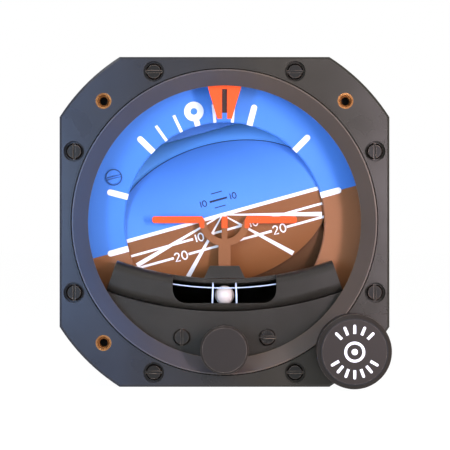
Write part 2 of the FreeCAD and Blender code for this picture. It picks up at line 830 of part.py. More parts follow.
def make_mask():
    mask = new_body("lower_mask")
    lower_segment(mask, "bezel_thick", "mask_radius", "mask_thick")
    holes = front_sketch(mask, "bezel_thick")
    add_circle(holes, "0", "-adjuster_drop", "adjuster_bush")
    for x, z, upright in MASK_SPOTS:
        add_circle(holes, x, z, "mask_shank_radius + thread_clearance")
    cut(mask, holes, "mask_thick")
    bracket = new_body("front_bracket")
    lower_segment(bracket, "mask_back", "bracket_radius", "bracket_back - mask_back")
    holes = front_sketch(bracket, "mask_back")
    add_circle(holes, "0", "-adjuster_drop", "adjuster_bush")
    for x, z, upright in MASK_SPOTS:
        add_circle(holes, x, z, "mask_shank_radius")
    cut(bracket, holes, "bracket_back - mask_back")
    well = front_sketch(bracket, "crank_front - crank_gap")
    add_circle(well, "0", "-adjuster_drop", "crank_radius + 3 * crank_gap")
    cut(bracket, well, "bracket_back")
    slotted_screws("mask_screws", MASK_SPOTS, "bezel_thick", ("mask_head_radius", "mask_head_height"),
                   ("mask_shank_radius", "mask_shank_length"))


def arc_sketch_body(name):
    """Body whose own X to Z centre is the centre of the inclinometer's curve."""
    body = new_body(name)
    body.setExpression("Placement.Base.z", bound("arc_centre"))
    return body


def sweep_arc(body, sketch, half_angle, kind="Revolution"):
    item = feature(body, kind, sketch, ReferenceAxis=(sketch, ["H_Axis"]), Midplane=True)
    item.setExpression("Angle", bound(f"2 * ({half_angle})"))
    doc.recompute()
    return item


def cut_sight(housing):
    """Opening in front of the tube, with its lower corners rounded."""
    floor = "sight_bottom - arc_centre"
    inner = "sight_half - sight_round"
    deep = front_sketch(housing, "housing_front")
    add_box(deep, f"-({inner})", inner, floor, "sight_rise - arc_top")
    cut(housing, deep, "sight_depth")
    wide = front_sketch(housing, "housing_front")
    add_box(wide, "-sight_half", "sight_half", f"{floor} + sight_round", "sight_rise - arc_top")
    cut(housing, wide, "sight_depth")
    corners = front_sketch(housing, "housing_front")
    for x in (inner, f"-({inner})"):
        add_circle(corners, x, f"{floor} + sight_round", "sight_round")
    cut(housing, corners, "sight_depth")


def make_inclinometer():
    housing = arc_sketch_body("inclinometer_housing")
    section = new_sketch(housing, "YZ_Plane")
    add_box(section, "housing_front", "bracket_back", "-arc_bottom", "-arc_top")
    sweep_arc(housing, section, "arc_half_angle")

    def front_arc(edge):
        curved = isinstance(edge.Curve, Part.Circle)
        return curved and near(edge.BoundBox.YMin, "housing_front") and near(edge.BoundBox.YMax, "housing_front")
    dress(housing, "Fillet", "housing_round", front_arc)
    bore = new_sketch(housing, "YZ_Plane")
    add_circle(bore, "tube_depth", "-arc_ball", "tube_outer + tube_clearance")
    sweep_arc(housing, bore, "tube_half_angle + tube_end_play", kind="Groove")
    cut_sight(housing)
    tube = arc_sketch_body("inclinometer_tube")
    ring = new_sketch(tube, "YZ_Plane")
    add_circle(ring, "tube_depth", "-arc_ball", "tube_outer")
    add_circle(ring, "tube_depth", "-arc_ball", "tube_inner")
    sweep_arc(tube, ring, "tube_half_angle")
    plugs = arc_sketch_body("tube_plugs")
    disc = new_sketch(plugs, "YZ_Plane")
    add_circle(disc, "tube_depth", "-arc_ball", "tube_inner")
    sweep_arc(plugs, disc, "tube_half_angle")
    gap = new_sketch(plugs, "YZ_Plane")
    add_circle(gap, "tube_depth", "-arc_ball", "tube_outer")
    sweep_arc(plugs, gap, "tube_half_angle - plug_angle", kind="Groove")
    ball = doc.addObject("Part::Sphere", "inclinometer_ball")
    ball.setExpression("Radius", bound("ball_radius"))
    ball.setExpression("Placement.Base.y", bound("tube_depth"))
    ball.setExpression("Placement.Base.z", bound("ball_height"))
    hump = new_body("symbol_guide")
    outline = front_sketch(hump, "tube_depth")
    base = "arc_centre - sqrt(arc_top * arc_top - hump_half_bottom * hump_half_bottom)"
    add_polygon(outline, [("-hump_half_bottom", base), ("hump_half_bottom", base),
                          ("hump_half_top", "hump_top"), ("-hump_half_top", "hump_top")])
    pad(hump, outline, "bracket_back - tube_depth")


# Aircraft symbol, its slide and the adjusting knob

def make_symbol():
    body = new_body("aircraft_symbol")
    arc = front_sketch(body, "symbol_front")
    add_circle(arc, "0", "ring_arc_height", "ring_arc_outer")
    add_circle(arc, "0", "ring_arc_height", "ring_arc_inner")
    pad(body, arc, "symbol_thick")
    upper = front_sketch(body, "symbol_front")
    add_box(upper, "-ring_arc_outer - 1", "ring_arc_outer + 1", "wing_bottom", "ring_arc_outer + 1")
    cut(body, upper, "symbol_thick")
    bars = front_sketch(body, "symbol_front")
    for side in ("-", ""):
        add_polygon(bars, [(f"{side}wing_tip", "wing_bottom"), (f"{side}ring_arc_inner", "wing_bottom"),
                           (f"{side}wing_root", "wing_top"), (f"{side}wing_tip", "wing_top")])
    pad(body, bars, "symbol_thick")
    post = front_sketch(body, "symbol_front")
    add_box(post, "-post_half", "post_half", "-ring_arc_inner - post_half", "wing_top")
    pad(body, post, "symbol_thick")
    stem = front_sketch(body, "symbol_front")
    add_box(stem, "-stem_half", "stem_half", "stem_bottom", "-ring_arc_inner - post_half")
    pad(body, stem, "symbol_thick")

    def wing_end(edge):
        upright = edge.BoundBox.XLength < TOUCHING and edge.BoundBox.ZLength < TOUCHING
        return upright and near(abs(edge.BoundBox.XMax), "wing_tip")
    dress(body, "Fillet", "(wing_top - wing_bottom) * 0.45", wing_end)


def make_slide():
    body = new_body("symbol_slide")
    plate = front_sketch(body, "symbol_front")
    shoulder = "-adjuster_drop + crank_radius"
    foot = "-adjuster_drop - crank_pin - pin_clearance - slide_side"
    add_polygon(plate, [("-slide_neck", "stem_bottom"), ("-slide_neck", shoulder), ("-slide_neck", foot),
                        ("slide_half", foot), ("slide_half", shoulder), ("slide_neck", shoulder),
                        ("slide_neck", "stem_bottom")])
    pad(body, plate, "slide_thick")
    slot = front_sketch(body, "symbol_front")
    reach = "(crank_pin + pin_clearance)"
    add_box(slot, f"crank_throw - {reach} - crank_throw * (1 - cos(30))", f"crank_throw + {reach}",
            f"-adjuster_drop - {reach}", f"-adjuster_drop + {reach}")
    cut(body, slot, "slide_thick")


def make_adjuster():
    knob = new_body("adjusting_knob")
    disc = front_sketch(knob, "adjuster_front")
    add_circle(disc, "0", "-adjuster_drop", "adjuster_radius")
    pad(knob, disc, "adjuster_depth")
    dress(knob, "Chamfer", "adjuster_bevel", rim_at("adjuster_front", "adjuster_radius"))
    socket = front_sketch(knob, "adjuster_front + adjuster_web")
    add_circle(socket, "0", "-adjuster_drop", "adjuster_shaft")
    cut(knob, socket, "adjuster_depth")
    shaft = new_body("adjusting_shaft")
    rod = front_sketch(shaft, "adjuster_front + adjuster_web")
    add_circle(rod, "0", "-adjuster_drop", "adjuster_shaft")
    pad(shaft, rod, "crank_front - adjuster_front - adjuster_web")
    crank = front_sketch(shaft, "crank_front")
    add_circle(crank, "0", "-adjuster_drop", "crank_radius")
    pad(shaft, crank, "crank_thick")
    pin = front_sketch(shaft, "crank_front + crank_thick")
    add_circle(pin, "crank_throw", "-adjuster_drop", "crank_pin")
    pad(shaft, pin, "pin_length")
    bush = new_body("adjusting_bush")
    sleeve = front_sketch(bush, "ring_seat - adjuster_bush_proud")
    add_circle(sleeve, "0", "-adjuster_drop", "adjuster_bush")
    add_circle(sleeve, "0", "-adjuster_drop", "adjuster_shaft + running_clearance")
    pad(bush, sleeve, "crank_front - crank_gap - ring_seat + adjuster_bush_proud")


# Caging control

def make_caging():
    place = ("caging_place", "-caging_place")
    knob = new_body("caging_knob")
    disc = front_sketch(knob, "caging_knob_front")
    add_circle(disc, *place, "caging_knob_radius")
    pad(knob, disc, "caging_knob_depth")
    dress(knob, "Chamfer", "caging_knob_bevel", rim_at("caging_knob_front", "caging_knob_radius"))
    socket = front_sketch(knob, "caging_knob_front + caging_knob_web")
    add_circle(socket, *place, "caging_rod")
    cut(knob, socket, "caging_knob_depth")
    rod = new_body("caging_rod")
    bar = front_sketch(rod, "caging_knob_front + caging_knob_web")
    add_circle(bar, *place, "caging_rod")
    pad(rod, bar, "fork_back - caging_knob_front - caging_knob_web")
    collar = front_sketch(rod, "collar_front")
    add_circle(collar, *place, "collar_radius")
    pad(rod, collar, "collar_length")
    fork = new_body("caging_fork")
    half = "fork_half_width * sin(45)"
    plate = front_sketch(fork, "fork_front")
    add_polygon(plate, [(f"fork_bore * 0.8 - {half}", f"-fork_bore * 0.8 - {half}"),
                        (f"caging_place - {half}", f"-caging_place - {half}"),
                        (f"caging_place + {half}", f"-caging_place + {half}"),
                        (f"fork_bore * 0.8 + {half}", f"-fork_bore * 0.8 + {half}")])
    pad(fork, plate, "fork_thick")
    eye = front_sketch(fork, "fork_front")
    add_circle(eye, "0", "0", "fork_eye")
    pad(fork, eye, "fork_thick")
    clamp = front_sketch(fork, "fork_front")
    add_circle(clamp, *place, "collar_radius")
    pad(fork, clamp, "fork_thick")
    holes = front_sketch(fork, "fork_front")
    add_circle(holes, "0", "0", "fork_bore")
    add_circle(holes, *place, "caging_rod")
    cut(fork, holes, "fork_thick")
    bush = new_body("caging_bush")
    sleeve = front_sketch(bush, "0")
    add_circle(sleeve, *place, "caging_bore")
    add_circle(sleeve, *place, "caging_rod + running_clearance")
    pad(bush, sleeve, "caging_bush_length")
    make_caging_spring()


def make_caging_spring():
    """Coil drawn as short straight runs, one polygon section swept along them."""
    radius = value("(caging_rod + caging_bore) / 2")
    start = value("caging_bush_length + spring_wire")
    length = value("collar_front - spring_wire") - start
    steps = int(value("spring_turns * spring_steps"))
    centre = FreeCAD.Vector(value("caging_place"), start, value("-caging_place"))
    points = []
    for step in range(steps + 1):
        angle = math.radians(360 * step / value("spring_steps"))
        around = FreeCAD.Vector(radius * math.cos(angle), length * step / steps, radius * math.sin(angle))
        points.append(centre + around)
    path = doc.addObject("Part::Polygon", "caging_spring_path")
    path.Nodes = points
    wire = doc.addObject("Part::RegularPolygon", "caging_spring_wire")
    wire.Polygon = 6
    wire.setExpression("Circumradius", bound("spring_wire"))
    lead = FreeCAD.Rotation(FreeCAD.Vector(0, 0, 1), points[1] - points[0])
    wire.Placement = FreeCAD.Placement(points[0], lead)
    spring = doc.addObject("Part::Sweep", "caging_spring")
    spring.Sections = [wire]
    spring.Spine = (path, [])
    spring.Solid = True
    spring.Transition = "Right corner"


# Roll assembly

DIAL_SCREW_ANGLES = (52.4, 152.4, 222.4)
SLIP_GROOVES = (1, 3, 5, 7)


def ring_spots(radius, angles):
    """Places on a circle, counted from straight up towards the left."""
    return [(f"-{radius} * sin({angle})", f"{radius} * cos({angle})") for angle in angles]


def make_bank_dial():
    body = new_body("bank_dial")
    disc = front_sketch(body, "dial_front")
    add_circle(disc, "0", "0", "dial_outer")
    add_circle(disc, "0", "0", "dial_inner")
    for x, z in ring_spots("dial_screw_ring", DIAL_SCREW_ANGLES):
        add_circle(disc, x, z, "dial_shank_radius + thread_clearance")
    pad(body, disc, "dial_thick")
    dress(body, "Chamfer", "dial_bevel", rim_at("dial_front", "dial_inner"))
    rolled(body)
    spots = [(x, z, False) for x, z in ring_spots("dial_screw_ring", DIAL_SCREW_ANGLES)]
    rolled(slotted_screws("dial_screws", spots, "dial_front", ("dial_head_radius", "dial_head_height"),
                          ("dial_shank_radius", "dial_shank_length"), "dial_head_bevel", "dial_slot_depth"))


def make_roll_gimbal():
    body = new_body("roll_gimbal")
    ring = front_sketch(body, "dial_back")
    add_circle(ring, "0", "0", "gimbal_ring_outer")
    add_circle(ring, "0", "0", "gimbal_ring_inner")
    pad(body, ring, "gimbal_ring_thick")
    bosses = front_sketch(body, "dial_back")
    taps = front_sketch(body, "dial_back")
    for x, z in ring_spots("dial_screw_ring", DIAL_SCREW_ANGLES):
        add_circle(bosses, x, z, "dial_boss")
        add_circle(taps, x, z, "dial_shank_radius")
    pad(body, bosses, "dial_boss_length")
    cut(body, taps, "dial_boss_length")
    arms = front_sketch(body, "dial_back")
    add_box(arms, "arm_inner", "arm_outer", "-arm_half", "arm_half")
    add_box(arms, "-arm_outer", "-arm_inner", "-arm_half", "arm_half")
    pad(body, arms, "gimbal_back - dial_back")
    web = front_sketch(body, "web_front")
    add_box(web, "-arm_outer", "arm_outer", "-arm_half", "arm_half")
    pad(body, web, "web_thick")
    hub = front_sketch(body, "web_front")
    add_circle(hub, "0", "0", "gimbal_hub")
    pad(body, hub, "web_thick")
    bore = front_sketch(body, "web_front")
    add_circle(bore, "0", "0", "roll_shaft")
    cut(body, bore, "web_thick")
    seats = new_sketch(body, "YZ_Plane")
    add_circle(seats, "pitch_axis", "0", "pivot_bearing_outer")
    cut_through(body, seats)
    rolled(body)


def make_roll_shaft():
    rolled(turned("roll_shaft", [("web_front", "0"), ("web_front", "roll_shaft"),
                                 ("roll_shaft_end", "roll_shaft"), ("roll_shaft_end", "0")]))
    cam = new_body("caging_cam")
    rise = new_sketch(cam, "YZ_Plane")
    add_polygon(rise, [("gimbal_back", "-cam_outer"), ("gimbal_back", "cam_outer"),
                       ("gimbal_back + cam_height", "cam_outer"), ("gimbal_back + cam_low", "-cam_outer")])
    feature(cam, "Pad", rise, "2 * cam_outer", Midplane=True)
    turn(cam, [("gimbal_back - 1", "cam_outer"), ("gimbal_back - 1", "cam_outer * 2"),
               ("gimbal_back + cam_height + 1", "cam_outer * 2"),
               ("gimbal_back + cam_height + 1", "cam_outer")], kind="Groove")
    bore = front_sketch(cam, "gimbal_back")
    add_circle(bore, "0", "0", "cam_inner")
    cut(cam, bore, "cam_height + 1")
    rolled(cam)
    drum = [("slip_front", "roll_shaft")]
    for groove in SLIP_GROOVES:
        edge = f"slip_front + {groove} * slip_land"
        drum += [(f"{edge} - slip_land", "slip_drum"), (edge, "slip_drum"),
                 (edge, "slip_drum - slip_groove"), (f"{edge} + slip_land", "slip_drum - slip_groove")]
    drum += [("slip_back - slip_land", "slip_drum"), ("slip_back", "slip_drum"),
             ("slip_back", "roll_shaft")]
    rolled(turned("slip_rings", drum))


def bearing(name, spots, bore, outer):
    """Ring bearings on the roll axis, each from one depth to another."""
    body = new_body(name)
    for front, back in spots:
        turn(body, [(front, bore), (front, outer), (back, outer), (back, bore)])
    return body


def make_roll_bearings():
    spots = [(name, f"{name} + roll_bearing_width") for name in ("front_bearing", "rear_bearing")]
    bearing("roll_bearings", spots, "roll_shaft + running_clearance", "roll_bearing_outer")
    carrier = new_body("bearing_carrier")
    back = "rear_bearing + roll_bearing_width"
    turn(carrier, [("front_bearing", "roll_bearing_outer"), ("front_bearing", "carrier_hub"),
                   ("carrier_front", "carrier_hub"),
                   ("carrier_front", "case_inner - carrier_clearance"),
                   ("ledge_front", "case_inner - carrier_clearance"), ("ledge_front", "carrier_hub"),
                   (back, "carrier_hub"), (back, "roll_bearing_outer")])
    block = new_body("brush_block")
    outline = front_sketch(block, "ledge_front")
    add_box(outline, "-brush_half", "brush_half", "carrier_hub", "carrier_hub + brush_height")
    pad(block, outline, "slip_back - ledge_front")
    brushes = new_body("brushes")
    for groove in SLIP_GROOVES:
        leaf = front_sketch(brushes, f"slip_front + ({groove} + 0.25) * slip_land")
        add_box(leaf, "-leaf_half", "leaf_half", "slip_drum - slip_groove + brush_gap", "carrier_hub")
        pad(brushes, leaf, "slip_land / 2")


# Pitch assembly and gyro

def make_pitch_bearings():
    body = new_body("pitch_bearings")
    for side in ("arm_inner", "-arm_outer"):
        ring = new_sketch(body, "YZ_Plane", side)
        add_circle(ring, "0", "0", "pivot_bearing_outer")
        add_circle(ring, "0", "0", "pivot_radius + running_clearance")
        pad(body, ring, "arm_thick")
    body.setExpression("Placement", bound(
        "placement(vector(0; pitch_axis; 0); rotation(vector(0; -1; 0); bank_angle))"))


def along_pivots(body, inner, outer, *radii):
    """Pads on both sides of the middle, along the pitch axis."""
    for start in (inner, f"-({outer})"):
        ring = new_sketch(body, "YZ_Plane", start)
        for radius in radii:
            add_circle(ring, "0", "0", radius)
        pad(body, ring, f"({outer}) - ({inner})")


def make_horizon_plate():
    outer = doc.addObject("Part::Cylinder", "horizon_outer")
    inner = doc.addObject("Part::Cylinder", "horizon_inner")
    for drum, radius in ((outer, "plate_radius"), (inner, "plate_radius - plate_thick")):
        drum.setExpression("Radius", bound(radius))
        drum.setExpression("Height", bound("2 * plate_half_width + 4"))
        place = "vector(-plate_half_width - 2; pitch_axis; 0)"
        drum.setExpression("Placement", bound(f"placement({place}; rotation(vector(0; 1; 0); 90))"))
    shell = doc.addObject("Part::Cut", "horizon_shell")
    shell.Base = outer
    shell.Tool = inner
    outline = doc.addObject("Part::Ellipse", "horizon_outline")
    outline.setExpression("MajorRadius", bound("plate_half_width"))
    outline.setExpression("MinorRadius", bound("plate_half_height"))
    place = "vector(0; dial_back; plate_lift)"
    outline.setExpression("Placement", bound(f"placement({place}; rotation(vector(1; 0; 0); 90))"))
    prism = doc.addObject("Part::Extrusion", "horizon_prism")
    prism.Base = outline
    prism.DirMode = "Custom"
    prism.Dir = FreeCAD.Vector(0, 1, 0)
    prism.Solid = True
    prism.setExpression("LengthFwd", bound("plate_radius"))
    plate = doc.addObject("Part::Common", "horizon_plate")
    plate.Base = shell
    plate.Tool = prism
    rolled(plate)


def make_links():
    body = new_body("horizon_links")
    along_pivots(body, "link_inner", "link_inner + link_thick", "link_hub")
    reach = "sqrt((plate_radius - plate_thick) ^ 2 - link_half ^ 2)"
    for start in ("link_inner", "-link_inner - link_thick"):
        strip = new_sketch(body, "YZ_Plane", start)
        add_box(strip, f"-{reach}", "weight_reach", "-link_half", "link_half")
        pad(body, strip, "link_thick")
    bore = new_sketch(body, "YZ_Plane")
    add_circle(bore, "0", "0", "pivot_radius")
    cut_through(body, bore)
    pitched(body, "plate_tilt")
    weights = new_body("balance_weights")
    for start in ("link_inner - weight_thick", "-link_inner"):
        disc = new_sketch(weights, "YZ_Plane", start)
        add_circle(disc, "weight_reach", "0", "weight_radius")
        pad(weights, disc, "weight_thick")
    pitched(weights, "plate_tilt")


def make_shells():
    for name, low, high in (("sky_shell", 0, 90), ("ground_shell", -90, 0)):
        outer = doc.addObject("Part::Sphere", name + "_outer")
        inner = doc.addObject("Part::Sphere", name + "_inner")
        outer.setExpression("Radius", bound("shell_radius"))
        inner.setExpression("Radius", bound("shell_radius - shell_thick"))
        outer.Angle1 = low
        outer.Angle2 = high
        port = doc.addObject("Part::Cylinder", name + "_port")
        port.setExpression("Radius", bound("shell_port"))
        port.setExpression("Height", bound("2 * shell_radius + 2"))
        place = "vector(-shell_radius - 1; 0; 0)"
        port.setExpression("Placement", bound(f"placement({place}; rotation(vector(0; 1; 0); 90))"))
        tools = doc.addObject("Part::MultiFuse", name + "_tools")
        tools.Shapes = [inner, port]
        shell = doc.addObject("Part::Cut", name)
        shell.Base = outer
        shell.Tool = tools
        pitched(shell)


def make_gyro_frame():
    body = new_body("gyro_frame")
    turn(body, [("-gyro_ring_half", "gyro_ring_inner"), ("-gyro_ring_half", "gyro_ring_outer"),
                ("gyro_ring_half", "gyro_ring_outer"), ("gyro_ring_half", "gyro_ring_inner")])
    along_pivots(body, "gyro_ring_inner", "pivot_boss_end", "pivot_boss")
    for start in ("spin_boss_inner", "spin_boss_sink - gyro_ring_outer"):
        boss = new_sketch(body, "XY_Plane", start)
        add_circle(boss, "0", "0", "spin_boss")
        pad(body, boss, "gyro_ring_outer - spin_boss_inner - spin_boss_sink")
    bore = new_sketch(body, "YZ_Plane")
    add_circle(bore, "0", "0", "pivot_radius")
    cut_through(body, bore)
    for start in ("spin_boss_inner", "-spin_boss_inner - spin_bearing_width"):
        seat = new_sketch(body, "XY_Plane", start)
        add_circle(seat, "0", "0", "spin_bearing_outer")
        feature(body, "Pocket", seat, "spin_bearing_width", Reversed=True)
    pitched(body)
    pins = new_body("pitch_pivots")
    along_pivots(pins, "gyro_ring_inner", "arm_outer - pivot_end_gap", "pivot_radius")
    pitched(pins)


def make_rotor():
    wheel = new_body("gyro_rotor")
    turn(wheel, [("spin_shaft", "rotor_half - rotor_web"), ("rotor_rim_inner", "rotor_half - rotor_web"),
                 ("rotor_rim_inner", "-rotor_half"), ("rotor_radius", "-rotor_half"),
                 ("rotor_radius", "rotor_half"), ("spin_shaft", "rotor_half")],
         axis="V_Axis", role="XZ_Plane")
    pitched(wheel)
    shaft = new_body("rotor_shaft")
    turn(shaft, [("0", "-spin_shaft_half"), ("spin_shaft", "-spin_shaft_half"),
                 ("spin_shaft", "spin_shaft_half"), ("0", "spin_shaft_half")],
         axis="V_Axis", role="XZ_Plane")
    pitched(shaft)
    rings = new_body("rotor_bearings")
    for start in ("spin_boss_inner", "-spin_boss_inner - spin_bearing_width"):
        ring = new_sketch(rings, "XY_Plane", start)
        add_circle(ring, "0", "0", "spin_bearing_outer")
        add_circle(ring, "0", "0", "spin_shaft + running_clearance")
        pad(rings, ring, "spin_bearing_width")
    pitched(rings)
    stator = new_body("gyro_stator")
    turn(stator, [("stator_bore", "-spin_boss_inner"), ("stator_stem", "-spin_boss_inner"),
                  ("stator_stem", "stator_sink - rotor_half"), ("stator_radius", "stator_sink - rotor_half"),
                  ("stator_radius", "stator_rise"), ("stator_bore", "stator_rise")],
         axis="V_Axis", role="XZ_Plane")
    pitched(stator)


NODES = [
    "bezel_plate", "window_ring", "cover_glass", "glass_gasket", "mounting_inserts", "bezel_screws",
    "bezel_gasket", "front_frame", "case_tube", "caging_tube", "rear_gasket", "rear_cover", "rear_cover_screws", "connector_shell",
    "connector_insulator", "connector_contacts", "connector_screws", "bank_index", "lower_mask",
    "front_bracket", "mask_screws", "inclinometer_housing", "inclinometer_tube", "tube_plugs",
    "inclinometer_ball", "symbol_guide", "aircraft_symbol", "symbol_slide", "adjusting_knob",
    "adjusting_shaft", "adjusting_bush", "caging_knob", "caging_rod", "caging_fork", "caging_bush",
    "caging_spring", "bank_dial", "dial_screws", "roll_gimbal", "roll_shaft", "caging_cam", "slip_rings",
    "roll_bearings", "bearing_carrier", "brush_block", "brushes", "pitch_bearings", "horizon_plate",
    "horizon_links", "balance_weights", "sky_shell", "ground_shell", "gyro_frame", "pitch_pivots", "gyro_rotor",
    "rotor_shaft", "rotor_bearings", "gyro_stator",
]


def export_nodes():
    """Refuse a broken object, then write one file for each node."""
    doc.recompute()
    for item in doc.Objects:
        if "Invalid" in item.State or "Error" in item.State:
            raise RuntimeError(f"{item.Label} is {item.State}")
    for name in NODES:
        shape = doc.getObjectsByLabel(name)[0].Shape
        if shape.isNull() or not shape.isValid() or not shape.Solids:
            raise RuntimeError(f"{name} has no valid solid")
        shape.exportStep(f"parts/{name}.step")


fill_sheet()
make_bezel_plate()
make_bezel_gasket()
make_front_frame()
make_case_tube()
make_caging_tube()
make_window()
make_inserts()
slotted_screws("bezel_screws", FACE_SPOTS, "counterbore_depth", ("face_head_radius", "face_head_height"),
               ("face_shank_radius", "face_shank_length"))
make_rear()
make_connector()
make_bank_index()
make_mask()
make_inclinometer()
make_symbol()
make_slide()
make_adjuster()
make_caging()
make_bank_dial()
make_roll_gimbal()
make_roll_shaft()
make_roll_bearings()
make_pitch_bearings()
make_horizon_plate()
make_links()
make_shells()
make_gyro_frame()
make_rotor()
export_nodes()
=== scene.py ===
"""Looks of a panel attitude indicator: paint, markings and light round its CAD model."""

import json
import math

import bmesh
import bpy
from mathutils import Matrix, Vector


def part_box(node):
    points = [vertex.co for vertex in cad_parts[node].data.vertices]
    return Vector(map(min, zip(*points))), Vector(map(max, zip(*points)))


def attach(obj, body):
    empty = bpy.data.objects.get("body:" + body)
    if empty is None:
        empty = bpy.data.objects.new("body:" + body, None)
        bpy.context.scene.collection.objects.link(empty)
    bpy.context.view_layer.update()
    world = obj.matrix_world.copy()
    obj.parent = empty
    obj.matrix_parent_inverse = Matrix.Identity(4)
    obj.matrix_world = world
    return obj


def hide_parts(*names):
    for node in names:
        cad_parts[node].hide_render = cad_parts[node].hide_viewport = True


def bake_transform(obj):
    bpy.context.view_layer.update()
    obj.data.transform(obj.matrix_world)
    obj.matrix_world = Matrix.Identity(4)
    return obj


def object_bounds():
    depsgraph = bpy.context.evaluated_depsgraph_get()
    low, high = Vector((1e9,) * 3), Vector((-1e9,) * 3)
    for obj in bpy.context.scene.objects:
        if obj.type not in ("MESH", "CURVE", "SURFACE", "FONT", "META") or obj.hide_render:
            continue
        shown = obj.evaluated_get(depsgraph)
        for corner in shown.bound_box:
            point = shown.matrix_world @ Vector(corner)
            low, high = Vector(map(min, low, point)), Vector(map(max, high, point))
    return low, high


bl_info = {
    "name": "Attitude Indicator Looks",
    "version": (1, 0, 0),
    "blender": (4, 5, 0),
    "location": "3D View > Sidebar > Indicator",
    "description": "Markings, finishes and studio for a panel attitude indicator",
    "category": "Object",
}

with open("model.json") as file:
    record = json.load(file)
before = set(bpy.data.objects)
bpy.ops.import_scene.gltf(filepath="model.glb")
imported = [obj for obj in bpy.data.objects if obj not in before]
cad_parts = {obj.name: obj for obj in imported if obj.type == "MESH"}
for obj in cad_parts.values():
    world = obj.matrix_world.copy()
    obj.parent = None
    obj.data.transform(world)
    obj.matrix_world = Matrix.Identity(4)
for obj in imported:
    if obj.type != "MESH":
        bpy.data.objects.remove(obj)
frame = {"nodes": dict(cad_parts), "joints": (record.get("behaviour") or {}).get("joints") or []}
CAD_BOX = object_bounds()
NODES = frame["nodes"]
JOINTS = {joint["name"]: joint for joint in frame["joints"]}

MM = 0.001
PITCH_AXIS = JOINTS["pitch"]["axis"]
BANK = math.atan2(PITCH_AXIS[2], PITCH_AXIS[0])
PIVOT_DEPTH = JOINTS["pitch"]["pos_m"][1]
DRUM_RADIUS = PIVOT_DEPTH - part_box("horizon_plate")[0].y
DIAL_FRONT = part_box("bank_dial")[0].y
ARC_CENTRE = JOINTS["ball_roll"]["pos_m"][2]
TUBE_DEPTH = JOINTS["ball_roll"]["pos_m"][1]
BALL_LOW, BALL_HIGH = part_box("inclinometer_ball")
ARC_RADIUS = ARC_CENTRE - (BALL_LOW.z + BALL_HIGH.z) / 2
TUBE_RADIUS = TUBE_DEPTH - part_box("inclinometer_tube")[0].y

# Ellipse of the raised drum face, in millimetres: half width, height of its middle, half height
PLATE_HALF, PLATE_MIDDLE, PLATE_RISE = 29.2, 2.45, 19.05

# Studio, in metres and watts
CAMERA_PLACE = (0.00013, -0.62, -0.0008)
CAMERA_LENS = 191
FLOOR_RADIUS = 3
FLOOR_WHITE, FLOOR_GLOW = 0.85, 1.08
WORLD_LIGHT = 0.15

# Name, place, width and height, power, tint, and whether gloss mirrors it
LAMPS = [
    ("front_lamp", (0.0, -0.85, 0.02), (0.35, 0.35), 2.9, (1.0, 1.0, 1.0), False),
    ("left_lamp", (-0.25, -0.62, 0.12), (0.2, 0.2), 0.68, (0.88, 0.94, 1.0), True),
    ("right_lamp", (0.25, -0.62, 0.12), (0.2, 0.2), 0.68, (1.0, 0.97, 0.95), True),
    ("left_strip", (-0.095, -0.17, 0.0), (0.02, 0.08), 0.22, (0.35, 0.6, 1.0), True),
    ("right_strip", (0.095, -0.17, 0.01), (0.02, 0.08), 0.36, (1.0, 0.84, 0.96), True),
    ("top_lamp", (-0.1, -0.14, 0.5), (0.8, 0.1), 0.9, (1.0, 1.0, 1.0), True),
]


def srgb(red, green, blue):
    """Linear colour of a paint chip given in 0 to 255 steps."""
    steps = (channel / 255 for channel in (red, green, blue))
    return tuple(s / 12.92 if s <= 0.04045 else ((s + 0.055) / 1.055) ** 2.4 for s in steps)


def colour_property(name, description, chip):
    return bpy.props.FloatVectorProperty(
        name=name, description=description, subtype="COLOR", size=3, min=0, max=1, default=srgb(*chip))


def length_property(name, description, millimetres):
    return bpy.props.FloatProperty(
        name=name, description=description, unit="LENGTH", min=0, precision=5, default=millimetres * MM)


class IndicatorColours(bpy.types.PropertyGroup):
    # The bluish and brownish blacks are painted reflection: the face is tinted as the bluish left lamps and
    # warmer right lamps would mirror in it.
    black_left_reflection: colour_property("Cool black", "Satin black where the face has aged bluish", (27, 34, 49))
    black_right_reflection: colour_property("Warm black", "Satin black where the face has aged brownish", (32, 27, 18))
    sky: colour_property("Sky", "Blue of the upper half of the drum face", (78, 133, 220))
    sky_dial: colour_property("Dial sky", "Blue of the upper half of the bank dial", (68, 126, 214))
    # The ball sky is painted lighter than the drum face's sky, as painted light in the deep barrel.
    sky_ball: colour_property("Ball sky", "Blue of the upper ball half", (98, 164, 255))
    ground: colour_property("Ground", "Brown of the lower half of the drum face", (128, 80, 44))
    ground_dial: colour_property("Dial ground", "Brown of the lower half of the bank dial", (138, 90, 56))
    ground_ball: colour_property("Ball ground", "Brown of the lower ball half", (92, 62, 40))
    orange: colour_property("Orange", "Fluorescent orange of the wings and the bank index", (244, 80, 24))
    symbol: colour_property("Symbol", "Brown of the ring and post of the aircraft symbol", (126, 78, 42))
    white: colour_property("White", "White of the markings", (232, 231, 232))
    ink: colour_property("Ink", "Black of the climb markings", (34, 40, 66))
    ball: colour_property("Ball", "Cream of the slip ball", (198, 188, 180))
    brass: colour_property("Brass", "Brass of the mounting inserts", (238, 172, 104))


class IndicatorSizes(bpy.types.PropertyGroup):
    ink_height: length_property("Ink height", "How far the markings stand off their face", 0.03)
    dial_mark_start: length_property("Mark start", "Radius where the bank marks begin", 26.5)
    fine_mark: length_property("Fine mark", "Width of the 10 and 20 degree bank marks", 0.8)
    wide_mark: length_property("Wide mark", "Width of the 30, 60 and 90 degree bank marks", 1.6)
    horizon_width: length_property("Horizon width", "Width of the horizon band", 0.95)
    horizon_lift: length_property("Horizon lift", "Height of the horizon over the pitch axis", 2.0)
    ground_line: length_property("Dive line", "Width of the dive lines", 0.62)
    figure_stroke: length_property("Figure stroke", "Stroke width of the white figures", 0.36)
    barrel_radius: length_property("Barrel radius", "Radius of the drum behind its raised face", 25.6)
    barrel_half_width: length_property("Barrel half width", "Half the width of the drum", 25.2)
    legend_stroke: length_property("Legend stroke", "Stroke width of the knob legend", 0.9)


# Places on the object

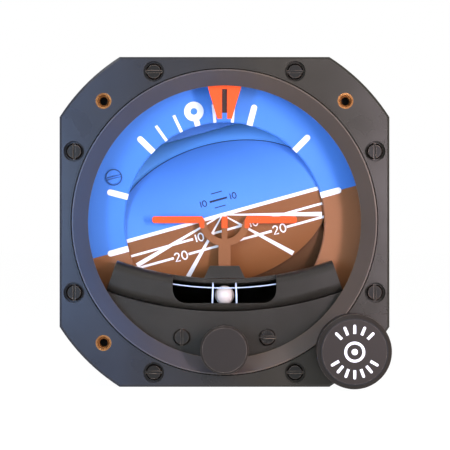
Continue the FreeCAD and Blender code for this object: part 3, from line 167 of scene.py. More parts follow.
def banked(across, up, depth):
    """Point of the roll assembly, in its own across and up, at the bank shown at rest."""
    return Vector((across * math.cos(BANK) - up * math.sin(BANK), depth,
                   across * math.sin(BANK) + up * math.cos(BANK)))


def on_dial(across, up, height):
    return banked(across, up, DIAL_FRONT - height)


def on_drum(across, up, height):
    """Point seen at across and up on the curved drum face, lifted by a height."""
    angle = math.asin(max(-1, min(1, up / DRUM_RADIUS)))
    reach = DRUM_RADIUS + height
    return banked(across, reach * math.sin(angle), PIVOT_DEPTH - reach * math.cos(angle))


def on_tube(along, turn, height):
    """Point on the glass tube: along its arc and round its section, both as lengths."""
    swing, roll = along / ARC_RADIUS, turn / TUBE_RADIUS
    reach = TUBE_RADIUS + height
    radius = ARC_RADIUS - reach * math.sin(roll)
    return Vector((radius * math.sin(swing), TUBE_DEPTH - reach * math.cos(roll),
                   ARC_CENTRE - radius * math.cos(swing)))


def facing(front, across_middle=0, up_middle=0):
    """Rule that places points on a flat face, which looks forward at a depth, about a middle."""
    def place(across, up, height):
        return Vector((across_middle + across, front - height, up_middle + up))
    return place


def middle_of(node):
    """Across and up of the middle of a CAD node."""
    low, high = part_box(node)
    return (low.x + high.x) / 2, (low.z + high.z) / 2


# Flat shapes in millimetres, before they are laid on a surface

def arc_points(centre, radius, start, end, steps=24, squeeze=1):
    """Points of an arc from one angle to another in degrees, counter-clockwise from the right."""
    points = []
    for step in range(steps + 1):
        angle = math.radians(start + (end - start) * step / steps)
        points.append((centre[0] + radius * squeeze * math.cos(angle),
                       centre[1] + radius * math.sin(angle)))
    return points


def stroke(points, width, end_width=None, closed=False):
    """Quads of a pen stroke along points, which may taper to another width."""
    last = width if end_width is None else end_width
    count = len(points)
    sides = []
    for index, (x, y) in enumerate(points):
        if closed:
            before, after = points[index - 1], points[(index + 1) % count]
        else:
            before, after = points[max(index - 1, 0)], points[min(index + 1, count - 1)]
        dx, dy = after[0] - before[0], after[1] - before[1]
        length = math.hypot(dx, dy)
        half = (width + (last - width) * index / max(count - 1, 1)) / 2
        sides.append(((x - dy / length * half, y + dx / length * half),
                      (x + dy / length * half, y - dx / length * half)))
    quads = []
    for index in range(count if closed else count - 1):
        (a, b), (c, d) = sides[index], sides[(index + 1) % count]
        quads.append([a, b, d, c])
    return quads


def line(start, end, width, end_width=None, steps=1):
    """Straight stroke between two points."""
    points = [(start[0] + (end[0] - start[0]) * step / steps,
               start[1] + (end[1] - start[1]) * step / steps) for step in range(steps + 1)]
    return stroke(points, width, end_width)


def bar(half_length, up, width, steps=1):
    """Level stroke, as long to the left as to the right."""
    return line((-half_length, up), (half_length, up), width, steps=steps)


def disc(middle, radius):
    return arc_points(middle, radius, 0, 350, 35)


def loop(middle, radius, width):
    """Quads of a ring drawn with a pen of a width."""
    return stroke(disc(middle, radius), width, closed=True)


# Width that each figure takes up, as a share of its height
FIGURE_ADVANCE = {"1": 0.34, "0": 0.98, "2": 0.9}


def figure_strokes(digit, height):
    """Centre lines of one figure of the dial lettering, about its own middle."""
    half = height / 2
    if digit == "0":
        return [(arc_points((0, 0), half, 0, 345, 23, squeeze=0.66), True)]
    if digit == "1":
        return [([(0, -half), (0, 0), (0, half)], False)]
    crown = arc_points((0, half * 0.45), half * 0.55, 165, -35, 16)
    return [(crown + [(-half * 0.55, -half), (half * 0.62, -half)], False)]


def figures(text, middle, height, width):
    """Quads of a short number, centred on a point."""
    total = sum(FIGURE_ADVANCE[digit] for digit in text) * height
    cursor = -total / 2
    quads = []
    for digit in text:
        step = FIGURE_ADVANCE[digit] * height
        for points, closed in figure_strokes(digit, height):
            spread = [(middle[0] + x + cursor + step / 2, middle[1] + y) for x, y in points]
            quads += stroke(spread, width, closed=closed)
        cursor += step
    return quads


def spoke(angle, start, end, width, blunt=True):
    """Radial mark at an angle in degrees from straight up, positive to the right."""
    direction = (math.sin(math.radians(angle)), math.cos(math.radians(angle)))
    reach = end if blunt else end - width / 2
    quads = line((direction[0] * start, direction[1] * start),
                 (direction[0] * reach, direction[1] * reach), width)
    if not blunt:
        middle = (direction[0] * reach, direction[1] * reach)
        quads.append(arc_points(middle, width / 2, -angle, 180 - angle, 12))
    return quads


# Meshes

def lay(name, quads, place, height, step=None):
    """Raised marking: flat shapes cut to short steps, laid on a surface and given a thickness."""
    mesh_maker = bmesh.new()
    for points in quads:
        mesh_maker.faces.new([mesh_maker.verts.new((x * MM, y * MM, 0)) for x, y in points])
    bmesh.ops.remove_doubles(mesh_maker, verts=mesh_maker.verts, dist=1e-7)
    if step:
        ups = [vert.co.y for vert in mesh_maker.verts]
        for index in range(math.ceil(min(ups) / step), math.floor(max(ups) / step) + 1):
            geometry = mesh_maker.verts[:] + mesh_maker.edges[:] + mesh_maker.faces[:]
            bmesh.ops.bisect_plane(mesh_maker, geom=geometry, dist=1e-8,
                                   plane_co=(0, index * step, 0), plane_no=(0, 1, 0))
    bmesh.ops.triangulate(mesh_maker, faces=mesh_maker.faces[:])
    raised = bmesh.ops.extrude_face_region(mesh_maker, geom=mesh_maker.faces[:])
    for item in raised["geom"]:
        if isinstance(item, bmesh.types.BMVert):
            item.co.z = height
    for vert in mesh_maker.verts:
        vert.co = place(*vert.co)
    bmesh.ops.recalc_face_normals(mesh_maker, faces=mesh_maker.faces[:])
    return finish_mesh(name, mesh_maker)


def finish_mesh(name, mesh_maker, smooth=False):
    """Object in the scene from a mesh that is ready."""
    mesh = bpy.data.meshes.new(name)
    mesh_maker.to_mesh(mesh)
    mesh_maker.free()
    for polygon in mesh.polygons:
        polygon.use_smooth = smooth
    piece = bpy.data.objects.new(name, mesh)
    bpy.context.scene.collection.objects.link(piece)
    return piece


def skin(name, mesh_maker, rings, smooth=False):
    """Closed piece over rings of corners: a wall between neighbours and a cap at either end."""
    for first, second in zip(rings, rings[1:]):
        for side in range(len(first)):
            other = (side + 1) % len(first)
            mesh_maker.faces.new((first[side], first[other], second[other], second[side]))
    mesh_maker.faces.new(rings[0])
    mesh_maker.faces.new(rings[-1][::-1])
    bmesh.ops.recalc_face_normals(mesh_maker, faces=mesh_maker.faces[:])
    return finish_mesh(name, mesh_maker, smooth)


def half_barrel(name, radius, half_width, start):
    """Half of a hollow drum round the pitch axis, from a split angle over half a turn."""
    rounding, wall, bore = 1.2 * MM, 0.8 * MM, 4.5 * MM
    corner_steps, turn_steps = 6, 64
    profile = [(bore, half_width)]
    for step in range(corner_steps + 1):
        angle = math.pi / 2 * (1 - step / corner_steps)
        profile.append((radius - rounding + rounding * math.cos(angle),
                        half_width - rounding + rounding * math.sin(angle)))
    profile += [(reach, -across) for reach, across in reversed(profile)]
    profile += [(bore, -half_width + wall), (radius - wall, -half_width + wall),
                (radius - wall, half_width - wall), (bore, half_width - wall)]
    mesh_maker = bmesh.new()
    rings = []
    for step in range(turn_steps + 1):
        angle = start + math.pi * step / turn_steps
        rings.append([mesh_maker.verts.new(
            banked(across, reach * math.sin(angle), PIVOT_DEPTH - reach * math.cos(angle)))
            for reach, across in profile])
    piece = skin(name, mesh_maker, rings, smooth=True)
    piece.data.set_sharp_from_angle(angle=math.radians(35))
    return piece


def wind(name, centre, start, end, turns, steps, section):
    """Section of reaches and depths, wound round an axis along Y from one depth to another."""
    mesh_maker = bmesh.new()
    rings = []
    for index in range(steps + 1):
        angle = 2 * math.pi * turns * index / steps
        middle = start + (end - start) * index / steps
        rings.append([mesh_maker.verts.new((centre[0] + reach * math.cos(angle), middle + along,
                                            centre[1] + reach * math.sin(angle)))
                      for reach, along in section])
    return skin(name, mesh_maker, rings)


def helix_ridge(name, centre, radius, start, end, pitch, depth):
    """Thread ridge round an axis along Y, pointing inwards for a positive depth."""
    turns = (end - start) / pitch
    section = [(radius - inwards * depth, along * pitch)
               for along, inwards in ((-0.42, 0), (-0.08, 1), (0.08, 1), (0.42, 0))]
    return wind(name, centre, start, end, turns, int(turns * 20), section)


def coil(name, centre, radius, wire, start, end, turns):
    """Closed wire coil round an axis along Y."""
    sides = 8
    corners = [2 * math.pi * side / sides for side in range(sides)]
    section = [(radius + wire * math.cos(turn), wire * math.sin(turn)) for turn in corners]
    return wind(name, centre, start, end, turns, turns * 24, section)


def dress(piece, body, finish):
    """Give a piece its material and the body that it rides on."""
    piece.data.materials.clear()
    piece.data.materials.append(finish_named(finish))
    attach(piece, body)


# Shader groups

def new_group(name, inputs, outputs):
    group = bpy.data.node_groups.new(name, "ShaderNodeTree")
    for label, default in inputs:
        socket = group.interface.new_socket(name=label, in_out="INPUT", socket_type="NodeSocketFloat")
        socket.default_value = default
    for label in outputs:
        group.interface.new_socket(name=label, in_out="OUTPUT", socket_type="NodeSocketFloat")
    return group, group.nodes.new("NodeGroupInput"), group.nodes.new("NodeGroupOutput")


def set_input(tree, socket, source):
    """Give a socket a number, a colour or the output of another node."""
    if isinstance(source, (int, float)):
        socket.default_value = source
    elif isinstance(source, tuple):
        socket.default_value = (*source, 1)
    else:
        tree.links.new(source, socket)


def math_node(tree, operation, *sources, clamp=False):
    node = tree.nodes.new("ShaderNodeMath")
    node.operation = operation
    node.use_clamp = clamp
    for socket, source in zip(node.inputs, sources):
        set_input(tree, socket, source)
    return node.outputs[0]


def mix_shaders(tree, share, first, second, end):
    """Blend two shaders by a share and send them to the surface of the end node."""
    mix = tree.nodes.new("ShaderNodeMixShader")
    for socket, source in zip(mix.inputs, (share, first.outputs[0], second.outputs[0])):
        tree.links.new(source, socket)
    tree.links.new(mix.outputs[0], tree.nodes[end].inputs["Surface"])


def stretch(tree, value, gain, offset=0):
    """Value times a gain, plus an offset, kept between 0 and 1."""
    return math_node(tree, "MULTIPLY_ADD", value, gain, offset, clamp=True)


def place_coordinates(tree):
    return tree.nodes.new("ShaderNodeTexCoord").outputs["Object"]


def place_parts(tree):
    """Outputs X, Y and Z of the place on the piece."""
    split = tree.nodes.new("ShaderNodeSeparateXYZ")
    tree.links.new(place_coordinates(tree), split.inputs[0])
    return split.outputs


def noise(tree, coordinates, scale, detail):
    node = tree.nodes.new("ShaderNodeTexNoise")
    tree.links.new(coordinates, node.inputs["Vector"])
    set_input(tree, node.inputs["Scale"], scale)
    node.inputs["Detail"].default_value = detail
    node.inputs["Roughness"].default_value = 0.55
    return node.outputs["Fac"]


def build_grain_group():
    """Sprayed paint or cast skin: a soft tone over the piece and a fine relief."""
    group, given, out = new_group("sprayed_grain", [("Scale", 900), ("Tone Scale", 60)], ["Tone", "Height"])
    spots = place_coordinates(group)
    tone = noise(group, spots, given.outputs["Tone Scale"], detail=5)
    fine = noise(group, spots, given.outputs["Scale"], detail=3)
    group.links.new(stretch(group, tone, 1.6, -0.3), out.inputs["Tone"])
    group.links.new(fine, out.inputs["Height"])
    return group


def build_wear_group():
    """Edge mask: where a rounded normal leaves the flat one, broken up by noise. Finishes use it for
    scuffed edges, for painted shade along outlines and creases, and for painted highlights on edges.
    """
    group, given, out = new_group("rubbed_edges", [("Radius", 0.0003), ("Amount", 0.5)], ["Mask"])
    bevel = group.nodes.new("ShaderNodeBevel")
    bevel.samples = 4
    group.links.new(given.outputs["Radius"], bevel.inputs["Radius"])
    geometry = group.nodes.new("ShaderNodeNewGeometry")
    dot = group.nodes.new("ShaderNodeVectorMath")
    dot.operation = "DOT_PRODUCT"
    group.links.new(bevel.outputs["Normal"], dot.inputs[0])
    group.links.new(geometry.outputs["Normal"], dot.inputs[1])
    edge = math_node(group, "SUBTRACT", 1, dot.outputs["Value"])
    breakup = noise(group, place_coordinates(group), 420, detail=5)
    mask = math_node(group, "MULTIPLY", stretch(group, edge, 9), stretch(group, breakup, 3.2, -1.1))
    group.links.new(math_node(group, "MULTIPLY", mask, given.outputs["Amount"], clamp=True),
                    out.inputs["Mask"])
    return group


def build_dust_group():
    """Scattered specks of dust, of several sizes."""
    group, given, out = new_group("dust_specks", [("Scale", 260), ("Amount", 0.3)], ["Mask"])
    cells = group.nodes.new("ShaderNodeTexVoronoi")
    group.links.new(place_coordinates(group), cells.inputs["Vector"])
    group.links.new(given.outputs["Scale"], cells.inputs["Scale"])
    split = group.nodes.new("ShaderNodeSeparateColor")
    group.links.new(cells.outputs["Color"], split.inputs["Color"])
    size = math_node(group, "MULTIPLY_ADD", split.outputs["Red"], 0.16, -0.1)
    near = math_node(group, "SUBTRACT", size, cells.outputs["Distance"])
    mask = math_node(group, "MULTIPLY", stretch(group, near, 30), given.outputs["Amount"], clamp=True)
    group.links.new(mask, out.inputs["Mask"])
    return group


def build_turned_group():
    """Fine lathe rings round the roll axis or an axis beside it."""
    group, given, out = new_group(
        "turned_rings", [("Centre X", 0), ("Centre Z", 0), ("Pitch", 0.0003)], ["Height"])
    place = place_parts(group)
    across = math_node(group, "SUBTRACT", place["X"], given.outputs["Centre X"])
    up = math_node(group, "SUBTRACT", place["Z"], given.outputs["Centre Z"])
    square = math_node(group, "ADD", math_node(group, "MULTIPLY", across, across),
                       math_node(group, "MULTIPLY", up, up))
    radius = math_node(group, "SQRT", square)
    turns = math_node(group, "DIVIDE", radius, given.outputs["Pitch"])
    wave = math_node(group, "SINE", math_node(group, "MULTIPLY", turns, 2 * math.pi))
    group.links.new(math_node(group, "MULTIPLY_ADD", wave, 0.5, 0.5), out.inputs["Height"])
    return group


def build_split_group():
    """1 above a line that is tilted by an angle and lifted over the roll axis, else 0."""
    group, given, out = new_group("split_above", [("Angle", 0), ("Lift", 0)], ["Mask"])
    place = place_parts(group)
    across = math_node(group, "MULTIPLY", place["X"], math_node(group, "SINE", given.outputs["Angle"]))
    up = math_node(group, "MULTIPLY", place["Z"], math_node(group, "COSINE", given.outputs["Angle"]))
    height = math_node(group, "SUBTRACT", up, across)
    group.links.new(math_node(group, "GREATER_THAN", height, given.outputs["Lift"]), out.inputs["Mask"])
    return group


def build_reflection_side_group():
    """Mask of painted reflection: 0 at the left side of the piece and 1 at the right, with a cloudy border.
    """
    group, given, out = new_group("side_drift", [("Width", 0.05)], ["Mask"])
    across = math_node(group, "DIVIDE", place_parts(group)["X"], given.outputs["Width"])
    cloud = noise(group, place_coordinates(group), 45, detail=5)
    cloud = math_node(group, "MULTIPLY_ADD", cloud, 0.8, 0.42)
    group.links.new(math_node(group, "ADD", across, cloud, clamp=True), out.inputs["Mask"])
    return group


GROUP_MAKERS = {"sprayed_grain": build_grain_group, "rubbed_edges": build_wear_group,
                "dust_specks": build_dust_group, "turned_rings": build_turned_group,
                "split_above": build_split_group, "side_drift": build_reflection_side_group}


def add_group(tree, name, **values):
    """Place a shader group in a material and set its inputs by name."""
    node = tree.nodes.new("ShaderNodeGroup")
    node.node_tree = bpy.data.node_groups.get(name) or GROUP_MAKERS[name]()
    for label, number in values.items():
        node.inputs[label.replace("_", " ").title()].default_value = number
    return node


def mix_colours(tree, mask, below, above):
    """Colour output that is below where the mask is 0 and above where it is 1."""
    node = tree.nodes.new("ShaderNodeMix")
    node.data_type = "RGBA"
    for place, source in ((0, mask), (6, below), (7, above)):
        set_input(tree, node.inputs[place], source)
    return node.outputs[2]


def shade(colour, factor):
    return tuple(min(1, channel * factor) for channel in colour)


# Finishes

def start_material(name):
    material = bpy.data.materials.new(name)
    material.use_nodes = True
    tree = material.node_tree
    shader = tree.nodes["Principled BSDF"]
    return material, tree, shader


def paint(name, colour, roughness, tone, grain, relief, wear=0.0, wear_radius=0.0003,
          worn=(0.14, 0.11, 0.08), dust=0.0, metallic=0.0, turned=None, specular=0.5,
          worn_metal=True, glow=0.0):
    """Coloured finish with tone, grain, an edge colour and dust; colour may be an output of the tree. The
    edge colour is scuffing on some finishes, painted shade on the dial and drum face, and painted highlight
    on the window ring, screws, knob and inserts; a glow is painted light from no lamp.
    """
    material, tree, shader = start_material(name)
    if callable(colour):
        colour = colour(tree)
    grain_node = add_group(tree, "sprayed_grain", scale=grain)
    if isinstance(colour, tuple):
        dark, light = shade(colour, 1 - tone), shade(colour, 1 + tone)
    else:
        dark, light = mix_colours(tree, tone, colour, (0.0, 0.0, 0.0)), colour
    base = mix_colours(tree, grain_node.outputs["Tone"], dark, light)
    rough = math_node(tree, "MULTIPLY_ADD", grain_node.outputs["Tone"], 0.16, roughness - 0.08)
    if wear:
        edge_mask = add_group(tree, "rubbed_edges", radius=wear_radius, amount=wear)
        base = mix_colours(tree, edge_mask.outputs["Mask"], base, worn)
    if wear and worn_metal:
        tree.links.new(math_node(tree, "MAXIMUM", edge_mask.outputs["Mask"], metallic),
                       shader.inputs["Metallic"])
    else:
        shader.inputs["Metallic"].default_value = metallic
    if dust:
        specks = add_group(tree, "dust_specks", amount=dust)
        base = mix_colours(tree, specks.outputs["Mask"], base, DUST)
    tree.links.new(base, shader.inputs["Base Color"])
    tree.links.new(rough, shader.inputs["Roughness"])
    if glow:
        tree.links.new(base, shader.inputs["Emission Color"])
        shader.inputs["Emission Strength"].default_value = glow
    shader.inputs["Specular IOR Level"].default_value = specular
    bump = tree.nodes.new("ShaderNodeBump")
    bump.inputs["Distance"].default_value = relief
    height = grain_node.outputs["Height"]
    if turned:
        rings = add_group(tree, "turned_rings", centre_x=turned[0], centre_z=turned[1], pitch=turned[2])
        height = math_node(tree, "ADD", height, rings.outputs["Height"])
    tree.links.new(height, bump.inputs["Height"])
    tree.links.new(bump.outputs["Normal"], shader.inputs["Normal"])
    return material


def rays_of(tree, *kinds):
    """1 for rays of the given three kinds, else 0."""
    rays = tree.nodes.new("ShaderNodeLightPath")
    first, second, third = (rays.outputs[f"Is {kind} Ray"] for kind in kinds)
    return math_node(tree, "MAXIMUM", math_node(tree, "MAXIMUM", first, second), third)


def clear(name, tint, ior):
    """Clear glass that lets light through to what lies behind it."""
    material, tree, shader = start_material(name)
    shader.inputs["Transmission Weight"].default_value = 1
    shader.inputs["Roughness"].default_value = 0
    shader.inputs["IOR"].default_value = ior
    smear = add_group(tree, "sprayed_grain", scale=300, tone_scale=40)
    tree.links.new(mix_colours(tree, smear.outputs["Tone"], shade(tint, 0.985), tint),
                   shader.inputs["Base Color"])
    passing = tree.nodes.new("ShaderNodeBsdfTransparent")
    mix_shaders(tree, rays_of(tree, "Shadow", "Diffuse", "Glossy"), shader, passing, "Material Output")
    return material


def painted_reflection_tint(cool, warm):
    """Colour rule: painted reflection, from one tone at the left of the piece to the other at the right."""
    def rule(tree):
        tint_side = add_group(tree, "side_drift", width=0.05)
        return mix_colours(tree, tint_side.outputs["Mask"], cool, warm)
    return rule


def halves(sky, ground, lift):
    """Colour rule: sky above the banked horizon, ground below it."""
    def rule(tree):
        above = add_group(tree, "split_above", angle=BANK, lift=lift)
        return mix_colours(tree, above.outputs["Mask"], ground, sky)
    return rule


def symbol_zones(arc_colour, wing_colour):
    """Colour rule: wings and centre dot in one colour, ring and post in the other."""
    wing_level, wing_start, dot_reach = -1.6 * MM, 5.4 * MM, 1.2 * MM

    def rule(tree):
        place = place_parts(tree)
        across = math_node(tree, "ABSOLUTE", place["X"])
        high = math_node(tree, "GREATER_THAN", place["Z"], wing_level)
        outside = math_node(tree, "GREATER_THAN", across, wing_start)
        inside = math_node(tree, "LESS_THAN", across, dot_reach)
        zone = math_node(tree, "MULTIPLY", high, math_node(tree, "MAXIMUM", outside, inside))
        return mix_colours(tree, zone, arc_colour, wing_colour)
    return rule


def finish_named(name):
    """Material for a finish, made when it is first asked for."""
    made = bpy.data.materials.get("finish_" + name)
    return made or FINISHES[name]("finish_" + name)


def colours():
    return bpy.context.scene.indicator_colours


def colour_of(name):
    return tuple(getattr(colours(), name))


def sizes():
    return bpy.context.scene.indicator_sizes


def matt_paint(name, colour, roughness=0.6, tone=0.05, relief=0.000002, specular=0.25, **finish):
    """Fine, nearly shineless paint of the dial, the drum and their marks."""
    return paint(name, colour, roughness, tone, 4000, relief, specular=specular, **finish)


# Gold edge colour of the window ring: scuffed edges showing metal, and painted highlight of the ring's
# bright edge line.
SCUFF_AND_HIGHLIGHT_GOLD = srgb(150, 126, 96)
# Dark blue edge colour of the dial and drum face: painted shade along their outlines, screw heads and
# slots.
PAINTED_EDGE_SHADE = srgb(44, 62, 92)
DUST = srgb(196, 190, 178)
FINISHES = {
    # black_paint and black_ring go from bluish at the left to warm at the right of the piece: painted
    # reflection.
    "black_paint": lambda name: paint(
        name, painted_reflection_tint(colour_of("black_left_reflection"), colour_of("black_right_reflection")), 0.3, 0.16, 4000, 0.000002,
        wear=0.3, wear_radius=0.0002, dust=0.25, specular=0.36),
    "black_ring": lambda name: paint(
        name, painted_reflection_tint(srgb(54, 64, 84), srgb(74, 64, 56)), 0.34, 0.14, 4000, 0.000002, wear=0.4,
        wear_radius=0.0002, worn=SCUFF_AND_HIGHLIGHT_GOLD, dust=0.2, specular=0.3, turned=(0, 0, 0.00045)),
    "clear_glass": lambda name: clear(name, (0.99, 0.99, 0.985), ior=1.05),
    "seal_rubber": lambda name: paint(name, srgb(30, 30, 31), 0.75, 0.1, 3000, 0.000004, specular=0.3),
    # Mounting inserts: the dark face is painted shade of the recess, and the brass edge colour is painted
    # highlight for their glints.
    "insert_brass": lambda name: paint(
        name, srgb(120, 74, 34), 0.26, 0.2, 4000, 0.000002, wear=1.0, wear_radius=0.00035,
        worn=colour_of("brass"), metallic=0.7),
    # Screw heads: the light edge colour is scuffing and also painted highlight, standing for the glints
    # beside their slots.
    "black_steel": lambda name: paint(
        name, srgb(16, 14, 12), 0.24, 0.25, 4000, 0.000002, wear=0.7, wear_radius=0.00014,
        worn=srgb(200, 176, 156), specular=0.3),
    "case_enamel": lambda name: paint(
        name, srgb(44, 44, 46), 0.38, 0.12, 2200, 0.000008, wear=0.6, wear_radius=0.0004,
        worn=srgb(150, 147, 140), dust=0.3, specular=0.3),
    "cast_light": lambda name: paint(name, srgb(168, 170, 172), 0.5, 0.12, 900, 0.00002, metallic=0.9),
    "connector_plate": lambda name: paint(
        name, srgb(150, 154, 138), 0.34, 0.14, 2000, 0.000006, wear=0.5, worn=srgb(200, 200, 196),
        metallic=0.9),
    "green_insert": lambda name: paint(name, srgb(58, 84, 66), 0.5, 0.12, 2000, 0.00001),
    "contact_brass": lambda name: paint(
        name, srgb(226, 190, 120), 0.22, 0.08, 2000, 0.000004, metallic=1.0),
    "index_orange": lambda name: matt_paint(name, colour_of("orange"), tone=0.04),
    "inner_black": lambda name: paint(
        name, srgb(38, 35, 30), 0.32, 0.2, 1500, 0.0000004, wear=0.25, worn=srgb(80, 74, 68),
        specular=0.2),
    "tube_glass": lambda name: clear(name, (0.97, 0.98, 0.97), ior=1.3),
    "plug_black": lambda name: paint(name, srgb(20, 20, 20), 0.6, 0.1, 3000, 0.000003, specular=0.2),
    "ball_cream": lambda name: paint(name, colour_of("ball"), 0.3, 0.03, 3000, 0.000001),
    "symbol_paint": lambda name: matt_paint(
        name, symbol_zones(colour_of("symbol"), colour_of("orange"))),
    "bright_steel": lambda name: paint(
        name, srgb(196, 197, 199), 0.26, 0.1, 2500, 0.000004, metallic=1.0),
    # Knob: the light edge colour is scuffing and also painted highlight of the bright line round its face.
    "knob_black": lambda name: paint(
        name, srgb(36, 31, 27), 0.46, 0.12, 3500, 0.000002, wear=0.75, worn=srgb(150, 136, 124),
        dust=0.06, specular=0.17),
    "bush_bronze": lambda name: paint(
        name, srgb(176, 128, 82), 0.4, 0.12, 2500, 0.000004, metallic=0.95),
    # Dial: sky above and ground below, with painted shade darkening its edges, screw head and slot.
    "dial_paint": lambda name: matt_paint(
        name, halves(colour_of("sky_dial"), colour_of("ground_dial"), 0), wear=0.9,
        wear_radius=0.0002, worn=PAINTED_EDGE_SHADE, dust=0.2, worn_metal=False),
    "frame_light": lambda name: paint(name, srgb(186, 188, 190), 0.42, 0.1, 1500, 0.00001, metallic=0.9),
    "bearing_steel": lambda name: paint(
        name, srgb(206, 206, 208), 0.18, 0.08, 3000, 0.000003, metallic=1.0),
    # Drum face: sky above and ground below the horizon, with painted shade darkening its edges.
    "drum_brown": lambda name: matt_paint(
        name, halves(colour_of("sky"), colour_of("ground"), sizes().horizon_lift), 0.62, wear=0.9,
        wear_radius=0.00015, worn=PAINTED_EDGE_SHADE, worn_metal=False),
    # Barrel sky: lightened blue with a glow, painted light that lifts the shaded barrel top.
    "sky_paint": lambda name: matt_paint(name, colour_of("sky_ball"), 0.62, glow=0.24),
    "ground_paint": lambda name: matt_paint(name, colour_of("ground_ball"), 0.62, 0.07),
    # The sky shield's darker blue is painted shade, matching the shaded top of the barrel beside it.
    "shade_sky": lambda name: matt_paint(name, srgb(72, 122, 196), 0.62, specular=0.2),
    "shade_ground": lambda name: matt_paint(name, srgb(92, 62, 40), 0.62, specular=0.2),
    "rotor_brass": lambda name: paint(
        name, srgb(214, 178, 104), 0.3, 0.1, 2500, 0.000004, metallic=1.0),
    "stator_copper": lambda name: paint(
        name, srgb(190, 112, 72), 0.4, 0.12, 1500, 0.00001, metallic=0.9),
    "slip_moulding": lambda name: paint(name, srgb(92, 58, 42), 0.4, 0.12, 2500, 0.000005),
    "mark_white": lambda name: matt_paint(name, colour_of("white"), tone=0.03, relief=0.000001),
    "mark_ink": lambda name: matt_paint(name, colour_of("ink"), relief=0.000001),
    "wire_white": lambda name: matt_paint(name, srgb(196, 210, 234), 0.5, 0.03, 0.000001),
    # Painted shade: dark blue and dark brown lines for the dial screw and the rim of the drum face.
    "screw_shade": lambda name: matt_paint(name, srgb(44, 70, 112), 0.6, 0.05, 0.000001, 0.2),
    "edge_brown": lambda name: matt_paint(name, srgb(76, 50, 34), 0.6, 0.1, 0.000001, 0.2),
    # Painted shade of the bank index slot.
    "index_shade": lambda name: matt_paint(name, srgb(58, 44, 40), 0.6, 0.1, 0.000001, 0.2),
}


# Operators, one for each piece or group of like pieces

class INDICATOR_OT_finishes(bpy.types.Operator):
    """Give every CAD piece the detailed finish of its material slot"""
    bl_idname = "indicator.finishes"
    bl_label = "Finish CAD pieces"

    def execute(self, context):
        for node in NODES.values():
            slots = [material.name for material in node.data.materials]
            for index, slot in enumerate(slots):
                node.data.materials[index] = finish_named(slot)
        return {"FINISHED"}


class INDICATOR_OT_dial_marks(bpy.types.Operator):
    """Raise the white bank marks and the zero ring on the bank dial"""
    bl_idname = "indicator.dial_marks"
    bl_label = "Bank dial marks"

    def execute(self, context):
        size = sizes()
        start, fine, wide = (n / MM for n in (size.dial_mark_start, size.fine_mark, size.wide_mark))
        fine_end, wide_end, stem_end, ring_up = 31.4, 32.2, 28.02, 30.5
        quads = []
        for angle in (10, -10, 20, -20):
            quads += spoke(angle, start, fine_end, fine)
        for angle in (30, -30, 60, -60, 90, -90):
            quads += spoke(angle, start, wide_end, wide, blunt=False)
        quads += loop((0, ring_up), 1.75, 1.7) + line((0, start), (0, stem_end), 1.5)
        marks = lay("bank_marks", quads, on_dial, size.ink_height)
        dress(marks, "roll_assembly", "mark_white")
        # Dark ring round the dial screw head and lines beside its slot: painted shade.
        low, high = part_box("dial_screws")
        head, slot_reach, slot_half, slant = 2.2 * MM, 1.9, 0.3, 0.5
        outline = loop((0, 0), 2.08, 0.24)
        for side in (-slot_half, slot_half):
            outline += line((-slot_reach, side - slant), (slot_reach, side + slant), 0.16)
        shade = lay("dial_screw_shade", outline, facing(low.y, low.x + head, high.z - head),
                    size.ink_height / 2)
        dress(shade, "roll_assembly", "screw_shade")
        return {"FINISHED"}


class INDICATOR_OT_bank_index(bpy.types.Operator):
    """Shape the fixed bank index as a slotted wedge, with a dark sheet in its slot as painted shade"""
    bl_idname = "indicator.bank_index"
    bl_label = "Bank index"

    def execute(self, context):
        low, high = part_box("bank_index")
        tip, crown = low.z / MM, high.z / MM
        slot_foot, slot_top, slot_half = tip + 1.6, crown - 3.3, 0.66

        def reach(up):
            """Half the width of the wedge at a height."""
            return 1.9 + (up - tip) * 0.3

        quads = [[(side * slot_half, tip), (side * reach(tip), tip), (side * reach(slot_top), slot_top),
                  (side * slot_half, slot_top)] for side in (-1, 1)]
        quads.append([(-reach(slot_top), slot_top), (reach(slot_top), slot_top), (reach(crown), crown),
                      (-reach(crown), crown)])
        wedge = lay("index_wedge", quads, facing(high.y), high.y - low.y)
        dress(wedge, "case", "index_orange")
        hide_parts("bank_index")
        # Dark sheet across the slot: painted shade filling it.
        opening = [(-slot_half, slot_foot), (slot_half, slot_foot), (slot_half, slot_top),
                   (-slot_half, slot_top)]
        slot = lay("index_slot", [opening], facing(high.y), 0.2 * MM)
        dress(slot, "case", "index_shade")
        return {"FINISHED"}


